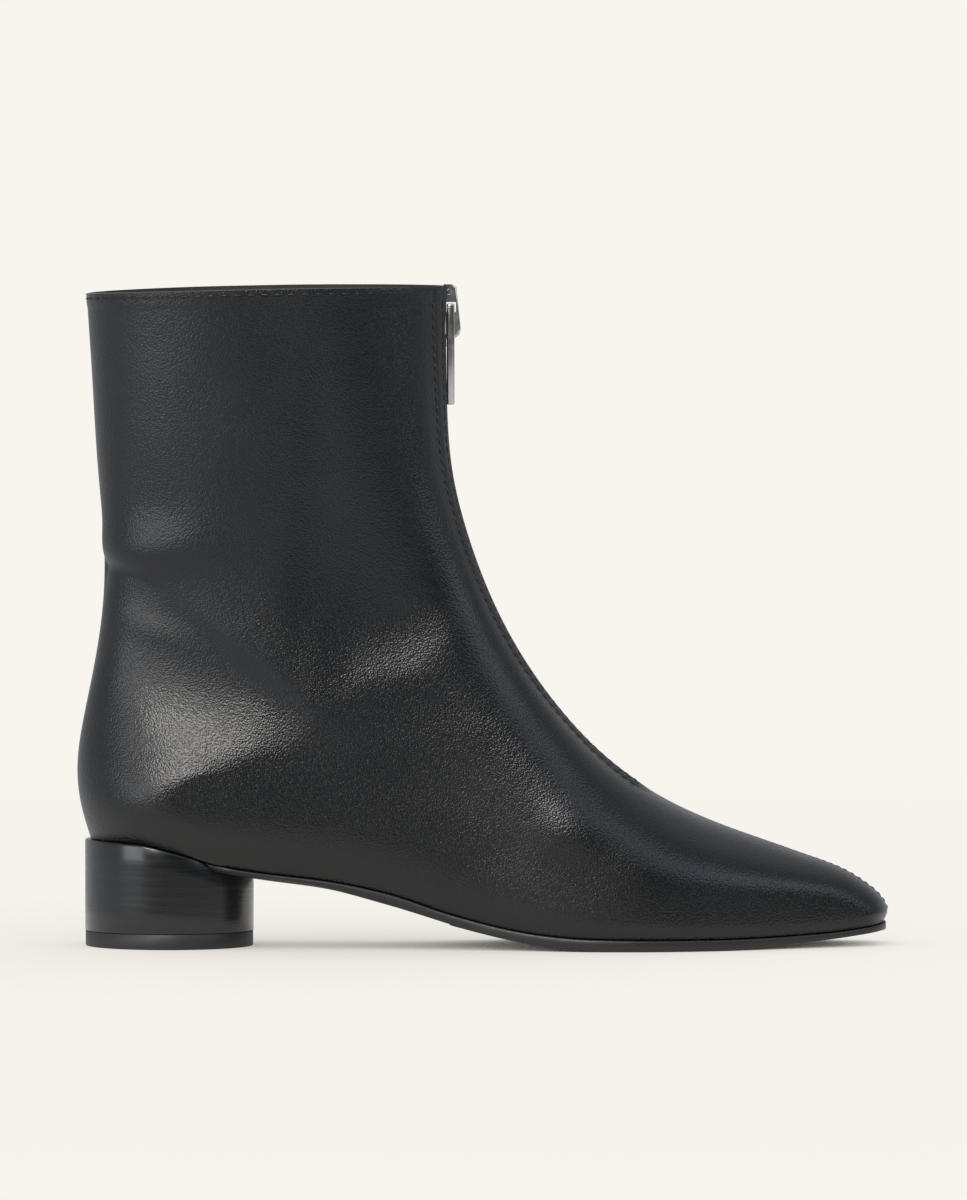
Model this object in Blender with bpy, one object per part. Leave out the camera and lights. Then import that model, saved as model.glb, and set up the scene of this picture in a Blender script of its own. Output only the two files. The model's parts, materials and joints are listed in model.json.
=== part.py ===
"""Heeled ankle boot with a front zip, for the right foot.

The toe points along +X, the outer side of the foot lies at -Y and the shaft rises along +Z.
Sizes are in millimetres, and each mesh is turned into metres once, as it is made.
"""
import math
from collections import namedtuple

import bmesh
import bpy
import numpy as np

MM = 0.001

# The leather wall, and the clearance that neighbouring pieces keep.
WALL = 2.2
GAP = 0.3

# The zip opening at the centre front: half its width, and how far its lower end lies from the toe.
SLOT_HALF = 3.2
ZIP_START = 88.0

# The collar's height at the back and at the front, and its rise between them.
COLLAR_BACK = 207.6
COLLAR_FRONT = 210.0
COLLAR_BOW = 0.7

# The block heel is a plain cylinder with a thin top piece under it.
HEEL_CENTRE = -99.8
HEEL_RADIUS = 26.85
TOP_PIECE_HEIGHT = 4.9
TOP_PIECE_INSET = 0.4

# The sole's edge past the lower edge of the upper, and its inset where the heel's rim covers it.
SOLE_MARGIN = 1.0
SOLE_INSET = 3.2
SOLE_SHOWS_FROM = -91.0
SOLE_SHOWS_FULLY = -80.0
FOREPART_STEP_AT = -10.0
FOREPART_STEP = 0.5

# The insole board.
INSOLE_THICK = 2.0
INSOLE_CLEARANCE = 0.7

# The zip: tape, chain, slider and pull tab.
TAPE_THICK = 1.0
TAPE_HALF = 9.0
TAPE_SPLIT = 0.4
CHAIN_HALF = 2.5
CHAIN_SINK = 0.2
SLIDER_HALF = 2.75
SLIDER_LOW = 190.5
SLIDER_HIGH = 209.4
SLIDER_BACK = -13.9
SLIDER_FACE = -11.5
CROWN_HALF = 1.5
TAB_PIVOT_X = -10.05
TAB_PIVOT_Z = 203.3
TAB_LENGTH = 31.0
TAB_THICK = 2.2
TAB_HALF = 3.1
TAB_EYE_HALF = 1.9
TAB_EYE_TOP = 0.25
TAB_EYE_LENGTH = 10.6
TAB_BAR = 1.13

# How finely the upper is divided: courses below and above the zip's end, and steps on each side.
LOW_COURSES = 11
HIGH_COURSES = 14
SIDE_STEPS = 30

# The back seam, from the heel seat up to the collar.
Back = namedtuple("Back", "z x round_depth")
BACK_LINE = (
    Back(34.4, -124.9, 29.0),
    Back(44.0, -127.7, 33.0),
    Back(57.0, -129.1, 43.0),
    Back(72.0, -127.2, 58.0),
    Back(90.0, -123.6, 66.0),
    Back(108.0, -121.0, 66.0),
    Back(124.0, -120.4, 62.0),
    Back(150.0, -122.3, 56.0),
    Back(180.0, -124.2, 52.0),
    Back(207.6, -126.0, 50.0),
)

# The centre front, from the toe's lower edge over the vamp and up to the collar.
# round_depth is how far down the crown reaches before the side is flat, squareness how full it is.
Front = namedtuple("Front", "x z round_depth squareness")
FRONT_LINE = (
    Front(127.9, 7.3, 8.0, 2.6),
    Front(129.2, 10.6, 8.5, 2.6),
    Front(128.0, 14.0, 9.0, 2.6),
    Front(123.2, 18.7, 9.5, 2.6),
    Front(115.0, 23.8, 10.5, 2.6),
    Front(104.0, 28.2, 13.0, 2.5),
    Front(86.0, 34.5, 18.0, 2.4),
    Front(63.0, 43.8, 26.0, 2.5),
    Front(40.0, 58.8, 30.0, 2.8),
    Front(22.0, 78.0, 30.0, 3.0),
    Front(5.9, 103.5, 29.0, 3.0),
    Front(-4.4, 129.0, 31.0, 2.8),
    Front(-10.0, 152.0, 35.0, 2.5),
    Front(-11.5, 172.0, 39.0, 2.3),
    Front(-11.6, 210.0, 50.0, 2.1),
)

# The lower edge of the upper, and the sole's edge and underside below it.
# edge is the upright part of the sole's side, bevel how far the underside is cut in from it.
Bottom = namedtuple("Bottom", "x feather edge underside bevel")
BOTTOM_LINE = (
    Bottom(-127.0, 34.4, 1.4, 32.2, 0.6),
    Bottom(-110.0, 33.6, 1.4, 31.2, 0.6),
    Bottom(-97.0, 30.7, 1.3, 28.3, 0.8),
    Bottom(-84.0, 26.9, 1.0, 24.1, 1.2),
    Bottom(-70.0, 24.6, 0.9, 21.7, 1.8),
    Bottom(-50.0, 22.2, 2.1, 18.9, 1.8),
    Bottom(-30.0, 18.1, 3.2, 13.8, 0.8),
    Bottom(-10.0, 11.6, 3.0, 7.9, 0.6),
    Bottom(10.0, 6.7, 2.9, 3.1, 0.5),
    Bottom(22.0, 5.0, 3.2, 1.0, 0.5),
    Bottom(33.0, 4.2, 3.1, 0.0, 0.5),
    Bottom(50.0, 3.9, 3.1, 0.0, 0.5),
    Bottom(76.0, 3.8, 3.0, 0.0, 0.5),
    Bottom(91.0, 4.1, 2.3, 1.0, 0.5),
    Bottom(111.0, 5.1, 1.8, 2.7, 0.4),
    Bottom(121.0, 6.2, 1.7, 3.9, 0.4),
    Bottom(130.0, 7.6, 1.7, 5.2, 0.4),
)

# The last in plan: its axis across Y, and its half-widths to either side of the axis at the lower edge.
# swell is how far the side stands out above that edge, within swell_height, and lean how it draws in above.
Plan = namedtuple("Plan", "x axis lateral medial swell_lateral swell_medial swell_height lean")
PLAN = (
    Plan(-130.0, 0.0, 25.4, 25.4, 4.4, 4.4, 16.0, 0.045),
    Plan(-100.0, 0.0, 25.4, 25.4, 4.6, 4.8, 15.0, 0.045),
    Plan(-70.0, 0.0, 25.2, 24.2, 4.4, 5.4, 17.0, 0.050),
    Plan(-35.0, 0.3, 26.2, 21.3, 3.6, 6.0, 18.0, 0.050),
    Plan(0.0, 1.2, 30.6, 25.0, 2.4, 4.4, 13.0, 0.055),
    Plan(30.0, 2.6, 37.8, 31.6, 1.7, 2.2, 7.5, 0.075),
    Plan(55.0, 4.0, 39.8, 33.4, 1.4, 1.6, 5.5, 0.085),
    Plan(80.0, 5.4, 34.4, 29.6, 1.2, 1.2, 5.0, 0.085),
    Plan(100.0, 6.5, 26.4, 22.8, 1.0, 1.0, 4.5, 0.075),
    Plan(115.0, 7.2, 19.6, 16.8, 0.9, 0.9, 4.5, 0.065),
    Plan(124.0, 7.5, 15.8, 13.8, 0.8, 0.8, 4.5, 0.050),
    Plan(132.0, 7.6, 13.2, 11.8, 0.8, 0.8, 4.5, 0.050),
)
LEAN_FROM = 10.0

# The shaft's half-width, which the foot blends into with height.
Shaft = namedtuple("Shaft", "z half")
SHAFT = (
    Shaft(40.0, 30.4),
    Shaft(60.0, 29.0),
    Shaft(75.0, 27.8),
    Shaft(90.0, 27.0),
    Shaft(105.0, 26.8),
    Shaft(124.0, 27.2),
    Shaft(150.0, 28.4),
    Shaft(180.0, 30.0),
    Shaft(212.0, 31.6),
)
SHAFT_FROM = 60.0
SHAFT_FULL = 122.0

# The bend between the stiff foot and the soft shaft, from the heel's counter up to the instep: points along
# it, how far the leather draws in above it, and over what width.
Bend = namedtuple("Bend", "x z drop wide")
ANKLE_BEND = (
    Bend(-126.0, 58.0, 0.0, 18.0),
    Bend(-118.0, 56.5, 2.6, 21.0),
    Bend(-108.0, 55.5, 3.6, 24.0),
    Bend(-94.0, 56.5, 3.6, 24.0),
    Bend(-82.0, 59.0, 2.9, 23.0),
    Bend(-68.0, 62.5, 1.2, 22.0),
    Bend(-54.0, 66.5, 0.6, 21.0),
    Bend(-43.0, 72.0, 1.1, 20.0),
    Bend(-34.0, 79.0, 1.8, 20.0),
    Bend(-27.0, 83.5, 1.9, 19.0),
    Bend(-18.0, 88.5, 1.5, 15.0),
    Bend(-8.0, 98.0, 0.9, 10.0),
    Bend(4.0, 110.0, 0.0, 9.0),
)
BEND_SHARP = 3.0
BEND_RECOVERS = 34.0

LATERAL = -1.0
MEDIAL = 1.0


def column(table, name):
    return np.array([getattr(row, name) for row in table], float)


def spline(knots, values, at):
    """Cubic curve through the values, straight past both ends."""
    count = len(knots)
    step = np.diff(knots)
    slope = np.diff(values) / step
    system = np.eye(count)
    target = np.zeros(count)
    for row in range(1, count - 1):
        system[row, row - 1:row + 2] = (step[row - 1], 2.0 * (step[row - 1] + step[row]), step[row])
        target[row] = 6.0 * (slope[row] - slope[row - 1])
    bend = np.linalg.solve(system, target)
    at = np.clip(np.asarray(at, float), knots[0], knots[-1])
    left = np.clip(np.searchsorted(knots, at) - 1, 0, count - 2)
    size = step[left]
    near = (at - knots[left]) / size
    far = 1.0 - near
    bow = (far ** 3 - far) * bend[left] + (near ** 3 - near) * bend[left + 1]
    return far * values[left] + near * values[left + 1] + bow * size ** 2 / 6.0


def level_curve(knots, values, at):
    """Curve through the values that never swings past them, so that level runs stay level."""
    step = np.diff(knots)
    slope = np.diff(values) / step
    tangent = np.zeros(len(knots))
    for row in range(1, len(knots) - 1):
        before = slope[row - 1]
        after = slope[row]
        if before * after > 0.0:
            tangent[row] = 2.0 * before * after / (before + after)
    tangent[0] = slope[0]
    tangent[-1] = slope[-1]
    at = np.clip(np.asarray(at, float), knots[0], knots[-1])
    left = np.clip(np.searchsorted(knots, at) - 1, 0, len(knots) - 2)
    size = step[left]
    t = (at - knots[left]) / size
    start = (1.0 + 2.0 * t) * (1.0 - t) ** 2 * values[left] + t * (1.0 - t) ** 2 * size * tangent[left]
    end = t * t * (3.0 - 2.0 * t) * values[left + 1] + t * t * (t - 1.0) * size * tangent[left + 1]
    return start + end


def ease(low, high, value):
    t = np.clip((np.asarray(value, float) - low) / (high - low), 0.0, 1.0)
    return t * t * (3.0 - 2.0 * t)


def bottom(name, x):
    return level_curve(column(BOTTOM_LINE, "x"), column(BOTTOM_LINE, name), x)


def plan(name, x):
    return spline(column(PLAN, "x"), column(PLAN, name), x)


def back_x(z):
    return spline(column(BACK_LINE, "z"), column(BACK_LINE, "x"), z)


# The centre front as a fine line, measured along itself from the toe.
front_knots = np.concatenate(([0.0], np.cumsum(np.hypot(
    np.diff(column(FRONT_LINE, "x")), np.diff(column(FRONT_LINE, "z"))))))
front_fine = np.linspace(0.0, front_knots[-1], 1400)
FRONT_X = spline(front_knots, column(FRONT_LINE, "x"), front_fine)
FRONT_Z = spline(front_knots, column(FRONT_LINE, "z"), front_fine)
FRONT_RUN = np.concatenate(([0.0], np.cumsum(np.hypot(np.diff(FRONT_X), np.diff(FRONT_Z)))))
FRONT_DEPTH = level_curve(front_knots, column(FRONT_LINE, "round_depth"), front_fine)
FRONT_SQUARE = level_curve(front_knots, column(FRONT_LINE, "squareness"), front_fine)
FRONT_LENGTH = FRONT_RUN[-1]

# The back seam in the same way, from the heel seat upward.
back_fine = np.linspace(BACK_LINE[0].z, BACK_LINE[-1].z, 700)
BACK_X = back_x(back_fine)
BACK_DEPTH = level_curve(column(BACK_LINE, "z"), column(BACK_LINE, "round_depth"), back_fine)


def front_point(run):
    return np.interp(run, FRONT_RUN, FRONT_X), np.interp(run, FRONT_RUN, FRONT_Z)


def line_distance(x, z, line_x, line_z):
    """Distance from each point to a fine line, and the place on the line that is nearest."""
    apart = (x[:, None] - line_x[None, :]) ** 2 + (z[:, None] - line_z[None, :]) ** 2
    nearest = np.argmin(apart, axis=1)
    best = np.sqrt(apart[np.arange(len(x)), nearest])
    for start in (np.clip(nearest - 1, 0, len(line_x) - 2), np.clip(nearest, 0, len(line_x) - 2)):
        ax = line_x[start]
        az = line_z[start]
        bx = line_x[start + 1] - ax
        bz = line_z[start + 1] - az
        share = np.clip(((x - ax) * bx + (z - az) * bz) / (bx * bx + bz * bz), 0.0, 1.0)
        best = np.minimum(best, np.hypot(x - ax - share * bx, z - az - share * bz))
    return best, nearest


def rounding(distance, depth, squareness):
    """Share of the full half-width that is reached at a distance in from the profile."""
    rest = np.clip(1.0 - distance / depth, 0.0, 1.0)
    return (1.0 - rest ** squareness) ** (1.0 / squareness)


def axis_y(x, z):
    return plan("axis", x) * (1.0 - ease(SHAFT_FROM, SHAFT_FULL, z))


def bend_drop(x, z):
    """How far the leather draws in above the bend between foot and shaft: soft again further up."""
    knots = column(ANKLE_BEND, "x")
    heights = column(ANKLE_BEND, "z")
    slope = 0.25 * (spline(knots, heights, x + 2.0) - spline(knots, heights, x - 2.0))
    above = (z - spline(knots, heights, x)) / np.hypot(1.0, slope)
    rise = 0.5 * (above + np.hypot(above, BEND_SHARP))
    wide = spline(knots, column(ANKLE_BEND, "wide"), x)
    to_go = np.clip(1.0 - rise / wide, 0.0, 1.0)
    past = np.clip(rise - wide, 0.0, None)
    drop = spline(knots, column(ANKLE_BEND, "drop"), x) * (1.0 - to_go ** 2)
    return drop * np.exp(-(past / BEND_RECOVERS) ** 2)


def flank(x, z, side):
    """Half-width of the upper where neither the front nor the back rounds it off."""
    name = "lateral" if side == LATERAL else "medial"
    rise = np.clip((z - bottom("feather", x)) / plan("swell_height", x), 0.0, 1.0)
    foot = plan(name, x) + plan("swell_" + name, x) * (1.0 - (1.0 - rise) ** 2)
    over = np.clip(z - bottom("feather", x) - plan("swell_height", x), 0.0, None)
    foot = foot - plan("lean", x) * over ** 2 / (over + LEAN_FROM)
    shaft = spline(column(SHAFT, "z"), column(SHAFT, "half"), z)
    mix = ease(SHAFT_FROM, SHAFT_FULL, z)
    return foot * (1.0 - mix) + shaft * mix - bend_drop(x, z)


def half_width(x, z, side):
    """Half-width of the upper's outer surface at a point of its side view."""
    x = np.atleast_1d(np.asarray(x, float))
    z = np.atleast_1d(np.asarray(z, float))
    from_front, front_at = line_distance(x, z, FRONT_X, FRONT_Z)
    from_back, back_at = line_distance(x, z, BACK_X, back_fine)
    crown = rounding(from_front, FRONT_DEPTH[front_at], FRONT_SQUARE[front_at])
    return flank(x, z, side) * crown * rounding(from_back, BACK_DEPTH[back_at], 2.0)


def new_object(name, mesh, material, smooth_angle=None):
    part = bpy.data.objects.new(name, mesh)
    bpy.context.scene.collection.objects.link(part)
    if material is not None:
        mesh.materials.append(material)
    if smooth_angle is not None:
        mesh.shade_smooth()
        mesh.set_sharp_from_angle(angle=math.radians(smooth_angle))
    return part


def new_mesh(name, points, faces):
    """Mesh from points in millimetres and faces as lists of point numbers."""
    shape = bmesh.new()
    verts = [shape.verts.new((x * MM, y * MM, z * MM)) for x, y, z in points]
    for face in faces:
        shape.faces.new([verts[number] for number in face])
    mesh = bpy.data.meshes.new(name)
    shape.to_mesh(mesh)
    shape.free()
    return mesh


def new_material(name, colour, roughness, metallic=0.0):
    material = bpy.data.materials.new(name)
    material.use_nodes = True
    shader = material.node_tree.nodes["Principled BSDF"]
    shader.inputs["Base Color"].default_value = (*colour, 1.0)
    shader.inputs["Roughness"].default_value = roughness
    shader.inputs["Metallic"].default_value = metallic
    return material


for old in list(bpy.data.objects):
    bpy.data.objects.remove(old, do_unlink=True)

boot_leather = new_material("black_calf_leather", (0.018, 0.018, 0.020), 0.42)
sole_leather = new_material("black_sole_leather", (0.016, 0.015, 0.015), 0.50)
heel_lacquer = new_material("lacquered_heel_stack", (0.012, 0.012, 0.014), 0.28)
heel_rubber = new_material("heel_top_rubber", (0.014, 0.014, 0.014), 0.60)
insole_leather = new_material("insole_leather", (0.030, 0.026, 0.024), 0.60)
zip_fabric = new_material("zip_tape_fabric", (0.010, 0.010, 0.011), 0.85)
zip_metal = new_material("zip_nickel", (0.62, 0.61, 0.59), 0.28, 1.0)


# The upper: courses run from the back seam to the centre front on both sides of the foot.
courses = []
back_at_zip = 84.0
for step in range(LOW_COURSES + 1):
    share = step / LOW_COURSES
    courses.append((ZIP_START * share ** 1.55,
                    BACK_LINE[0].z + (back_at_zip - BACK_LINE[0].z) * share ** 1.25))
for step in range(1, HIGH_COURSES + 1):
    share = step / HIGH_COURSES
    courses.append((ZIP_START + (FRONT_LENGTH - ZIP_START) * share,
                    back_at_zip + (COLLAR_BACK - back_at_zip) * share))


def course_line(run, back_z, share):
    """Side view of one course, share of the way along it from the back to the front."""
    rise = 0.5 * (run / FRONT_LENGTH + (back_z - BACK_LINE[0].z) / (COLLAR_BACK - BACK_LINE[0].z))
    back = np.array((back_x(back_z), back_z))
    front = np.array(front_point(run))
    low_back = np.array((back_x(BACK_LINE[0].z), BACK_LINE[0].z))
    low_front = np.array(front_point(0.0))
    share = np.asarray(share, float)[:, None]
    along = back * (1.0 - share) + front * share
    chord = low_back * (1.0 - share) + low_front * share
    sag = bottom("feather", chord[:, 0]) - chord[:, 1]
    sag = sag - (bottom("feather", low_back[0]) - low_back[1]) * (1.0 - share[:, 0])
    sag = sag - (bottom("feather", low_front[0]) - low_front[1]) * share[:, 0]
    fade = (1.0 - rise) ** 1.6
    bow = COLLAR_BOW * 4.0 * share[:, 0] * (1.0 - share[:, 0]) * rise ** 6
    return along[:, 0], along[:, 1] + sag * fade + bow


def course_points(run, back_z, side):
    """Points of one course from the back seam to the edge of the front opening."""
    share = 0.5 - 0.5 * np.cos(np.linspace(0.0, math.pi, 500))
    x, z = course_line(run, back_z, share)
    half = half_width(x, z, side)
    half[0] = 0.0
    widest = int(np.argmax(half))
    end = np.interp(-SLOT_HALF, -half[widest:], share[widest:])
    keep = share < end
    share = np.append(share[keep], end)
    x, z = course_line(run, back_z, share)
    half = half_width(x, z, side)
    half[0] = 0.0
    half[-1] = SLOT_HALF
    y = axis_y(x, z) + side * half
    ahead = np.arctan2(np.diff(y), np.diff(x))
    turn = np.abs(np.diff(np.unwrap(ahead)))
    length = np.sqrt(np.diff(x) ** 2 + np.diff(y) ** 2 + np.diff(z) ** 2)
    weight = length + 10.0 * np.append(turn, 0.0)
    weight = np.concatenate(([0.0], np.cumsum(weight)))
    stops = np.interp(np.linspace(0.0, weight[-1], SIDE_STEPS + 1), weight, share)
    x, z = course_line(run, back_z, stops)
    half = half_width(x, z, side)
    half[0] = 0.0
    half[-1] = SLOT_HALF
    return x, axis_y(x, z) + side * half, z


upper_points = []
upper_faces = []
rings = []
for number, (run, back_z) in enumerate(courses):
    ring = []
    sides = {}
    for side in (LATERAL, MEDIAL):
        x, y, z = course_points(run, back_z, side)
        sides[side] = list(zip(x, y, z))
    middle = []
    if number <= LOW_COURSES:
        x, z = front_point(run)
        middle = [(float(x), float(axis_y(x, z)), float(z))]
    loop = sides[LATERAL] + middle + sides[MEDIAL][:0:-1]
    for point in loop:
        ring.append(len(upper_points))
        upper_points.append(point)
    rings.append(ring)
for number in range(len(rings) - 1):
    lower = rings[number]
    above = rings[number + 1]
    for step in range(SIDE_STEPS):
        upper_faces.append((lower[step], lower[step + 1], above[step + 1], above[step]))
    if number < LOW_COURSES:
        lower_loop = lower[SIDE_STEPS:] + lower[:1]
        above_loop = above[SIDE_STEPS:] + above[:1]
    else:
        lower_loop = lower[-SIDE_STEPS:] + lower[:1]
        above_loop = above[-SIDE_STEPS:] + above[:1]
    for step in range(len(lower_loop) - 1):
        upper_faces.append((lower_loop[step], lower_loop[step + 1], above_loop[step + 1], above_loop[step]))
upper = new_object("upper", new_mesh("upper", upper_points, upper_faces), boot_leather, 40.0)
wall = upper.modifiers.new("leather_wall", "SOLIDIFY")
wall.thickness = WALL * MM
wall.offset = -1.0
wall.use_even_offset = True
wall.use_quality_normals = True
wall.use_rim = True


def outline(inset):
    """Lower edge of the upper seen from above, moved in by an inset: x, lateral y and medial y."""
    share = 0.5 - 0.5 * np.cos(np.linspace(0.0, math.pi, 400))
    x, z = course_line(0.0, BACK_LINE[0].z, share)
    moved = []
    for side in (LATERAL, MEDIAL):
        half = half_width(x, z, side)
        half[0] = 0.0
        half[-1] = 0.0
        y = axis_y(x, z) + side * half
        dx = np.gradient(x)
        dy = np.gradient(y)
        size = np.hypot(dx, dy)
        # The ends of the outline face straight back and straight ahead.
        out_x = -side * dy / size
        out_y = side * dx / size
        out_x[0] = -1.0
        out_y[0] = 0.0
        out_x[-1] = 1.0
        out_y[-1] = 0.0
        moved.append((x - out_x * inset, y - out_y * inset))
    return moved


def sole_stations(count, low, high):
    share = 0.5 - 0.5 * np.cos(np.linspace(0.0, math.pi, count))
    return low + (high - low) * share


def plate(name, stations, sides, levels):
    """Closed plate across the stations: levels are pairs of (inset of the edge, height) functions."""
    points = []
    faces = []
    rows = []
    for at, lateral, medial in zip(stations, *sides):
        row = []
        for inset, height in levels:
            shift = min(inset(at), 0.45 * (medial - lateral))
            row.append((len(points), len(points) + 1))
            points.append((at, lateral + shift, height(at)))
            points.append((at, medial - shift, height(at)))
        rows.append(row)
    last = len(levels) - 1
    for near, far in zip(rows[:-1], rows[1:]):
        faces.append((near[0][0], far[0][0], far[0][1], near[0][1]))
        faces.append((near[last][0], near[last][1], far[last][1], far[last][0]))
        for level in range(last):
            faces.append((near[level][0], near[level + 1][0], far[level + 1][0], far[level][0]))
            faces.append((near[level][1], far[level][1], far[level + 1][1], near[level + 1][1]))
    for row, forward in ((rows[0], False), (rows[-1], True)):
        for level in range(last):
            face = (row[level][0], row[level + 1][0], row[level + 1][1], row[level][1])
            faces.append(face if forward else face[::-1])
    return new_mesh(name, points, faces)


def sole_side(side, grow):
    """Edge of the sole as y over x: past the upper along the foot, and tucked in over the heel."""
    wide = outline(-SOLE_MARGIN - grow)[0 if side == LATERAL else 1]
    tucked = outline(SOLE_INSET - grow)[0 if side == LATERAL else 1]

    def edge(at):
        far = np.interp(at, wide[0], wide[1])
        near = np.interp(at, tucked[0], tucked[1])
        mix = ease(SOLE_SHOWS_FROM, SOLE_SHOWS_FULLY, at)
        return near * (1.0 - mix) + far * mix
    return edge


def sole_underside(at):
    step = FOREPART_STEP * (1.0 - ease(FOREPART_STEP_AT - 1.0, FOREPART_STEP_AT, at))
    return float(bottom("underside", at) + step)


sole_back = float(outline(SOLE_INSET)[0][0][0])
sole_front = float(outline(-SOLE_MARGIN)[0][0][-1])
sole_x = np.sort(np.append(sole_stations(58, sole_back + 0.4, sole_front - 0.25),
                           (FOREPART_STEP_AT - 1.0, FOREPART_STEP_AT)))
sole_edges = (sole_side(LATERAL, 0.0)(sole_x), sole_side(MEDIAL, 0.0)(sole_x))
sole_levels = (
    (lambda at: 0.0, lambda at: float(bottom("feather", at)) - GAP),
    (lambda at: 0.0, lambda at: float(bottom("feather", at) - GAP - bottom("edge", at))),
    (lambda at: float(bottom("bevel", at)), sole_underside),
)
outsole = new_object("outsole", plate("outsole", sole_x, sole_edges, sole_levels), sole_leather, 30.0)

# The heel: a cylinder whose top follows the lower edge of the upper, hollowed where the sole lies in it.
heel_turn = np.linspace(0.0, math.pi, 33)[1:-1]
heel_x = HEEL_CENTRE - HEEL_RADIUS * np.cos(heel_turn)
heel_half = HEEL_RADIUS * np.sin(heel_turn)
heel_levels = (
    (lambda at: 0.0, lambda at: float(bottom("feather", at)) - GAP),
    (lambda at: 0.0, lambda at: TOP_PIECE_HEIGHT + GAP),
)
heel = new_object("heel", plate("heel", heel_x, (-heel_half, heel_half), heel_levels), heel_lacquer, 30.0)
cut_x = sole_stations(40, sole_back + 0.4 - GAP, -40.0)
cut_edges = (sole_side(LATERAL, GAP)(cut_x), sole_side(MEDIAL, GAP)(cut_x))
cut_levels = (
    (lambda at: 0.0, lambda at: float(bottom("feather", at)) + 3.0),
    (lambda at: 0.0, lambda at: float(bottom("underside", at)) + FOREPART_STEP - GAP),
)
sole_space = new_object("sole_space", plate("sole_space", cut_x, cut_edges, cut_levels), None)
sole_space.hide_render = True
sole_space.display_type = "WIRE"
seat = heel.modifiers.new("sole_seat", "BOOLEAN")
seat.operation = "DIFFERENCE"
seat.solver = "EXACT"
seat.object = sole_space

# The top piece that the heel stands on.
lift_radius = HEEL_RADIUS - TOP_PIECE_INSET
lift_x = HEEL_CENTRE - lift_radius * np.cos(heel_turn)
lift_half = lift_radius * np.sin(heel_turn)
lift_levels = (
    (lambda at: 0.0, lambda at: TOP_PIECE_HEIGHT),
    (lambda at: 0.0, lambda at: 0.4),
    (lambda at: 0.4, lambda at: 0.0),
)
top_piece = new_object("heel_top_piece", plate("heel_top_piece", lift_x, (-lift_half, lift_half), lift_levels),
                       heel_rubber, 30.0)

# The insole lies on the sole inside the upper.
board_inset = WALL + INSOLE_CLEARANCE
board = outline(board_inset)
board_x = sole_stations(44, float(board[0][0][0]) + 0.5, float(board[0][0][-1]) - 0.3)
board_edges = (np.interp(board_x, *board[0]), np.interp(board_x, *board[1]))
board_levels = (
    (lambda at: 0.0, lambda at: float(bottom("feather", at)) + INSOLE_THICK),
    (lambda at: 0.0, lambda at: float(bottom("feather", at))),
)
insole = new_object("insole", plate("insole", board_x, board_edges, board_levels), insole_leather, 30.0)


def front_frame(run):
    """Point of the centre front, and the directions along it and straight out of it."""
    x, z = front_point(run)
    before = front_point(max(run - 1.0, 0.0))
    after = front_point(min(run + 1.0, FRONT_LENGTH))
    along = np.array((after[0] - before[0], after[1] - before[1]))
    along = along / np.hypot(*along)
    return np.array((x, z)), along, np.array((along[1], -along[0]))


def crown_drop(run, y):
    """How far the outer surface has dropped below the centre front at y to the side of it."""
    depth = np.interp(run, FRONT_RUN, FRONT_DEPTH)
    square = np.interp(run, FRONT_RUN, FRONT_SQUARE)
    x, z = front_point(run)
    full = min(float(flank(x, z, LATERAL)), float(flank(x, z, MEDIAL)))
    return float(depth * (1.0 - (1.0 - (abs(y) / full) ** square) ** (1.0 / square)))


def strip(name, runs, rim):
    """Strip along the centre front: rim gives its cross-section as (y, depth) at each place."""
    points = []
    faces = []
    size = len(rim(runs[0]))
    for run in runs:
        start, along, out = front_frame(run)
        middle = float(axis_y(*start))
        for y, depth in rim(run):
            place = start - out * depth
            points.append((place[0], middle + y, place[1]))
    for row in range(len(runs) - 1):
        for corner in range(size):
            after = (corner + 1) % size
            faces.append((row * size + corner, row * size + after,
                          (row + 1) * size + after, (row + 1) * size + corner))
    last = (len(runs) - 1) * size
    faces.append(tuple(range(size))[::-1])
    faces.append(tuple(last + corner for corner in range(size)))
    return new_mesh(name, points, faces)


def tape_rim(side):
    def rim(run):
        top = [(side * y, crown_drop(run, y) + WALL + 2.0 * GAP) for y in (TAPE_SPLIT, 4.5, TAPE_HALF)]
        low = [(y, depth + TAPE_THICK) for y, depth in top[::-1]]
        loop = top + low
        return loop if side == MEDIAL else loop[::-1]
    return rim


# The zip: a woven tape inside each edge of the opening, and the chain between them.
tape_runs = np.linspace(ZIP_START + 4.0, FRONT_LENGTH - 1.0, 26)
tape_lateral = new_object("zip_tape_lateral", strip("zip_tape_lateral", tape_runs, tape_rim(LATERAL)),
                          zip_fabric, 40.0)
tape_medial = new_object("zip_tape_medial", strip("zip_tape_medial", tape_runs, tape_rim(MEDIAL)),
                         zip_fabric, 40.0)


def chain_rim(run):
    low = WALL + GAP
    return [(-CHAIN_HALF, CHAIN_SINK + 0.5), (-CHAIN_HALF + 0.5, CHAIN_SINK), (CHAIN_HALF - 0.5, CHAIN_SINK),
            (CHAIN_HALF, CHAIN_SINK + 0.5), (CHAIN_HALF, low), (-CHAIN_HALF, low)]


chain_top = FRONT_LENGTH - (COLLAR_FRONT - SLIDER_LOW) - GAP
chain_runs = np.linspace(ZIP_START + 1.0, chain_top, 40)
chain = new_object("zip_chain", strip("zip_chain", chain_runs, chain_rim), zip_metal, 40.0)


def sweep(name, profile, half, material):
    """Solid with a side-view profile, running counter-clockwise seen from -Y, and a width across Y."""
    points = [(x, -half, z) for x, z in profile] + [(x, half, z) for x, z in profile]
    count = len(profile)
    faces = [tuple(range(count)), tuple(range(2 * count - 1, count - 1, -1))]
    for corner in range(count):
        after = (corner + 1) % count
        faces.append((corner, corner + count, after + count, after))
    return new_object(name, new_mesh(name, points, faces), material, 30.0)


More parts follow.
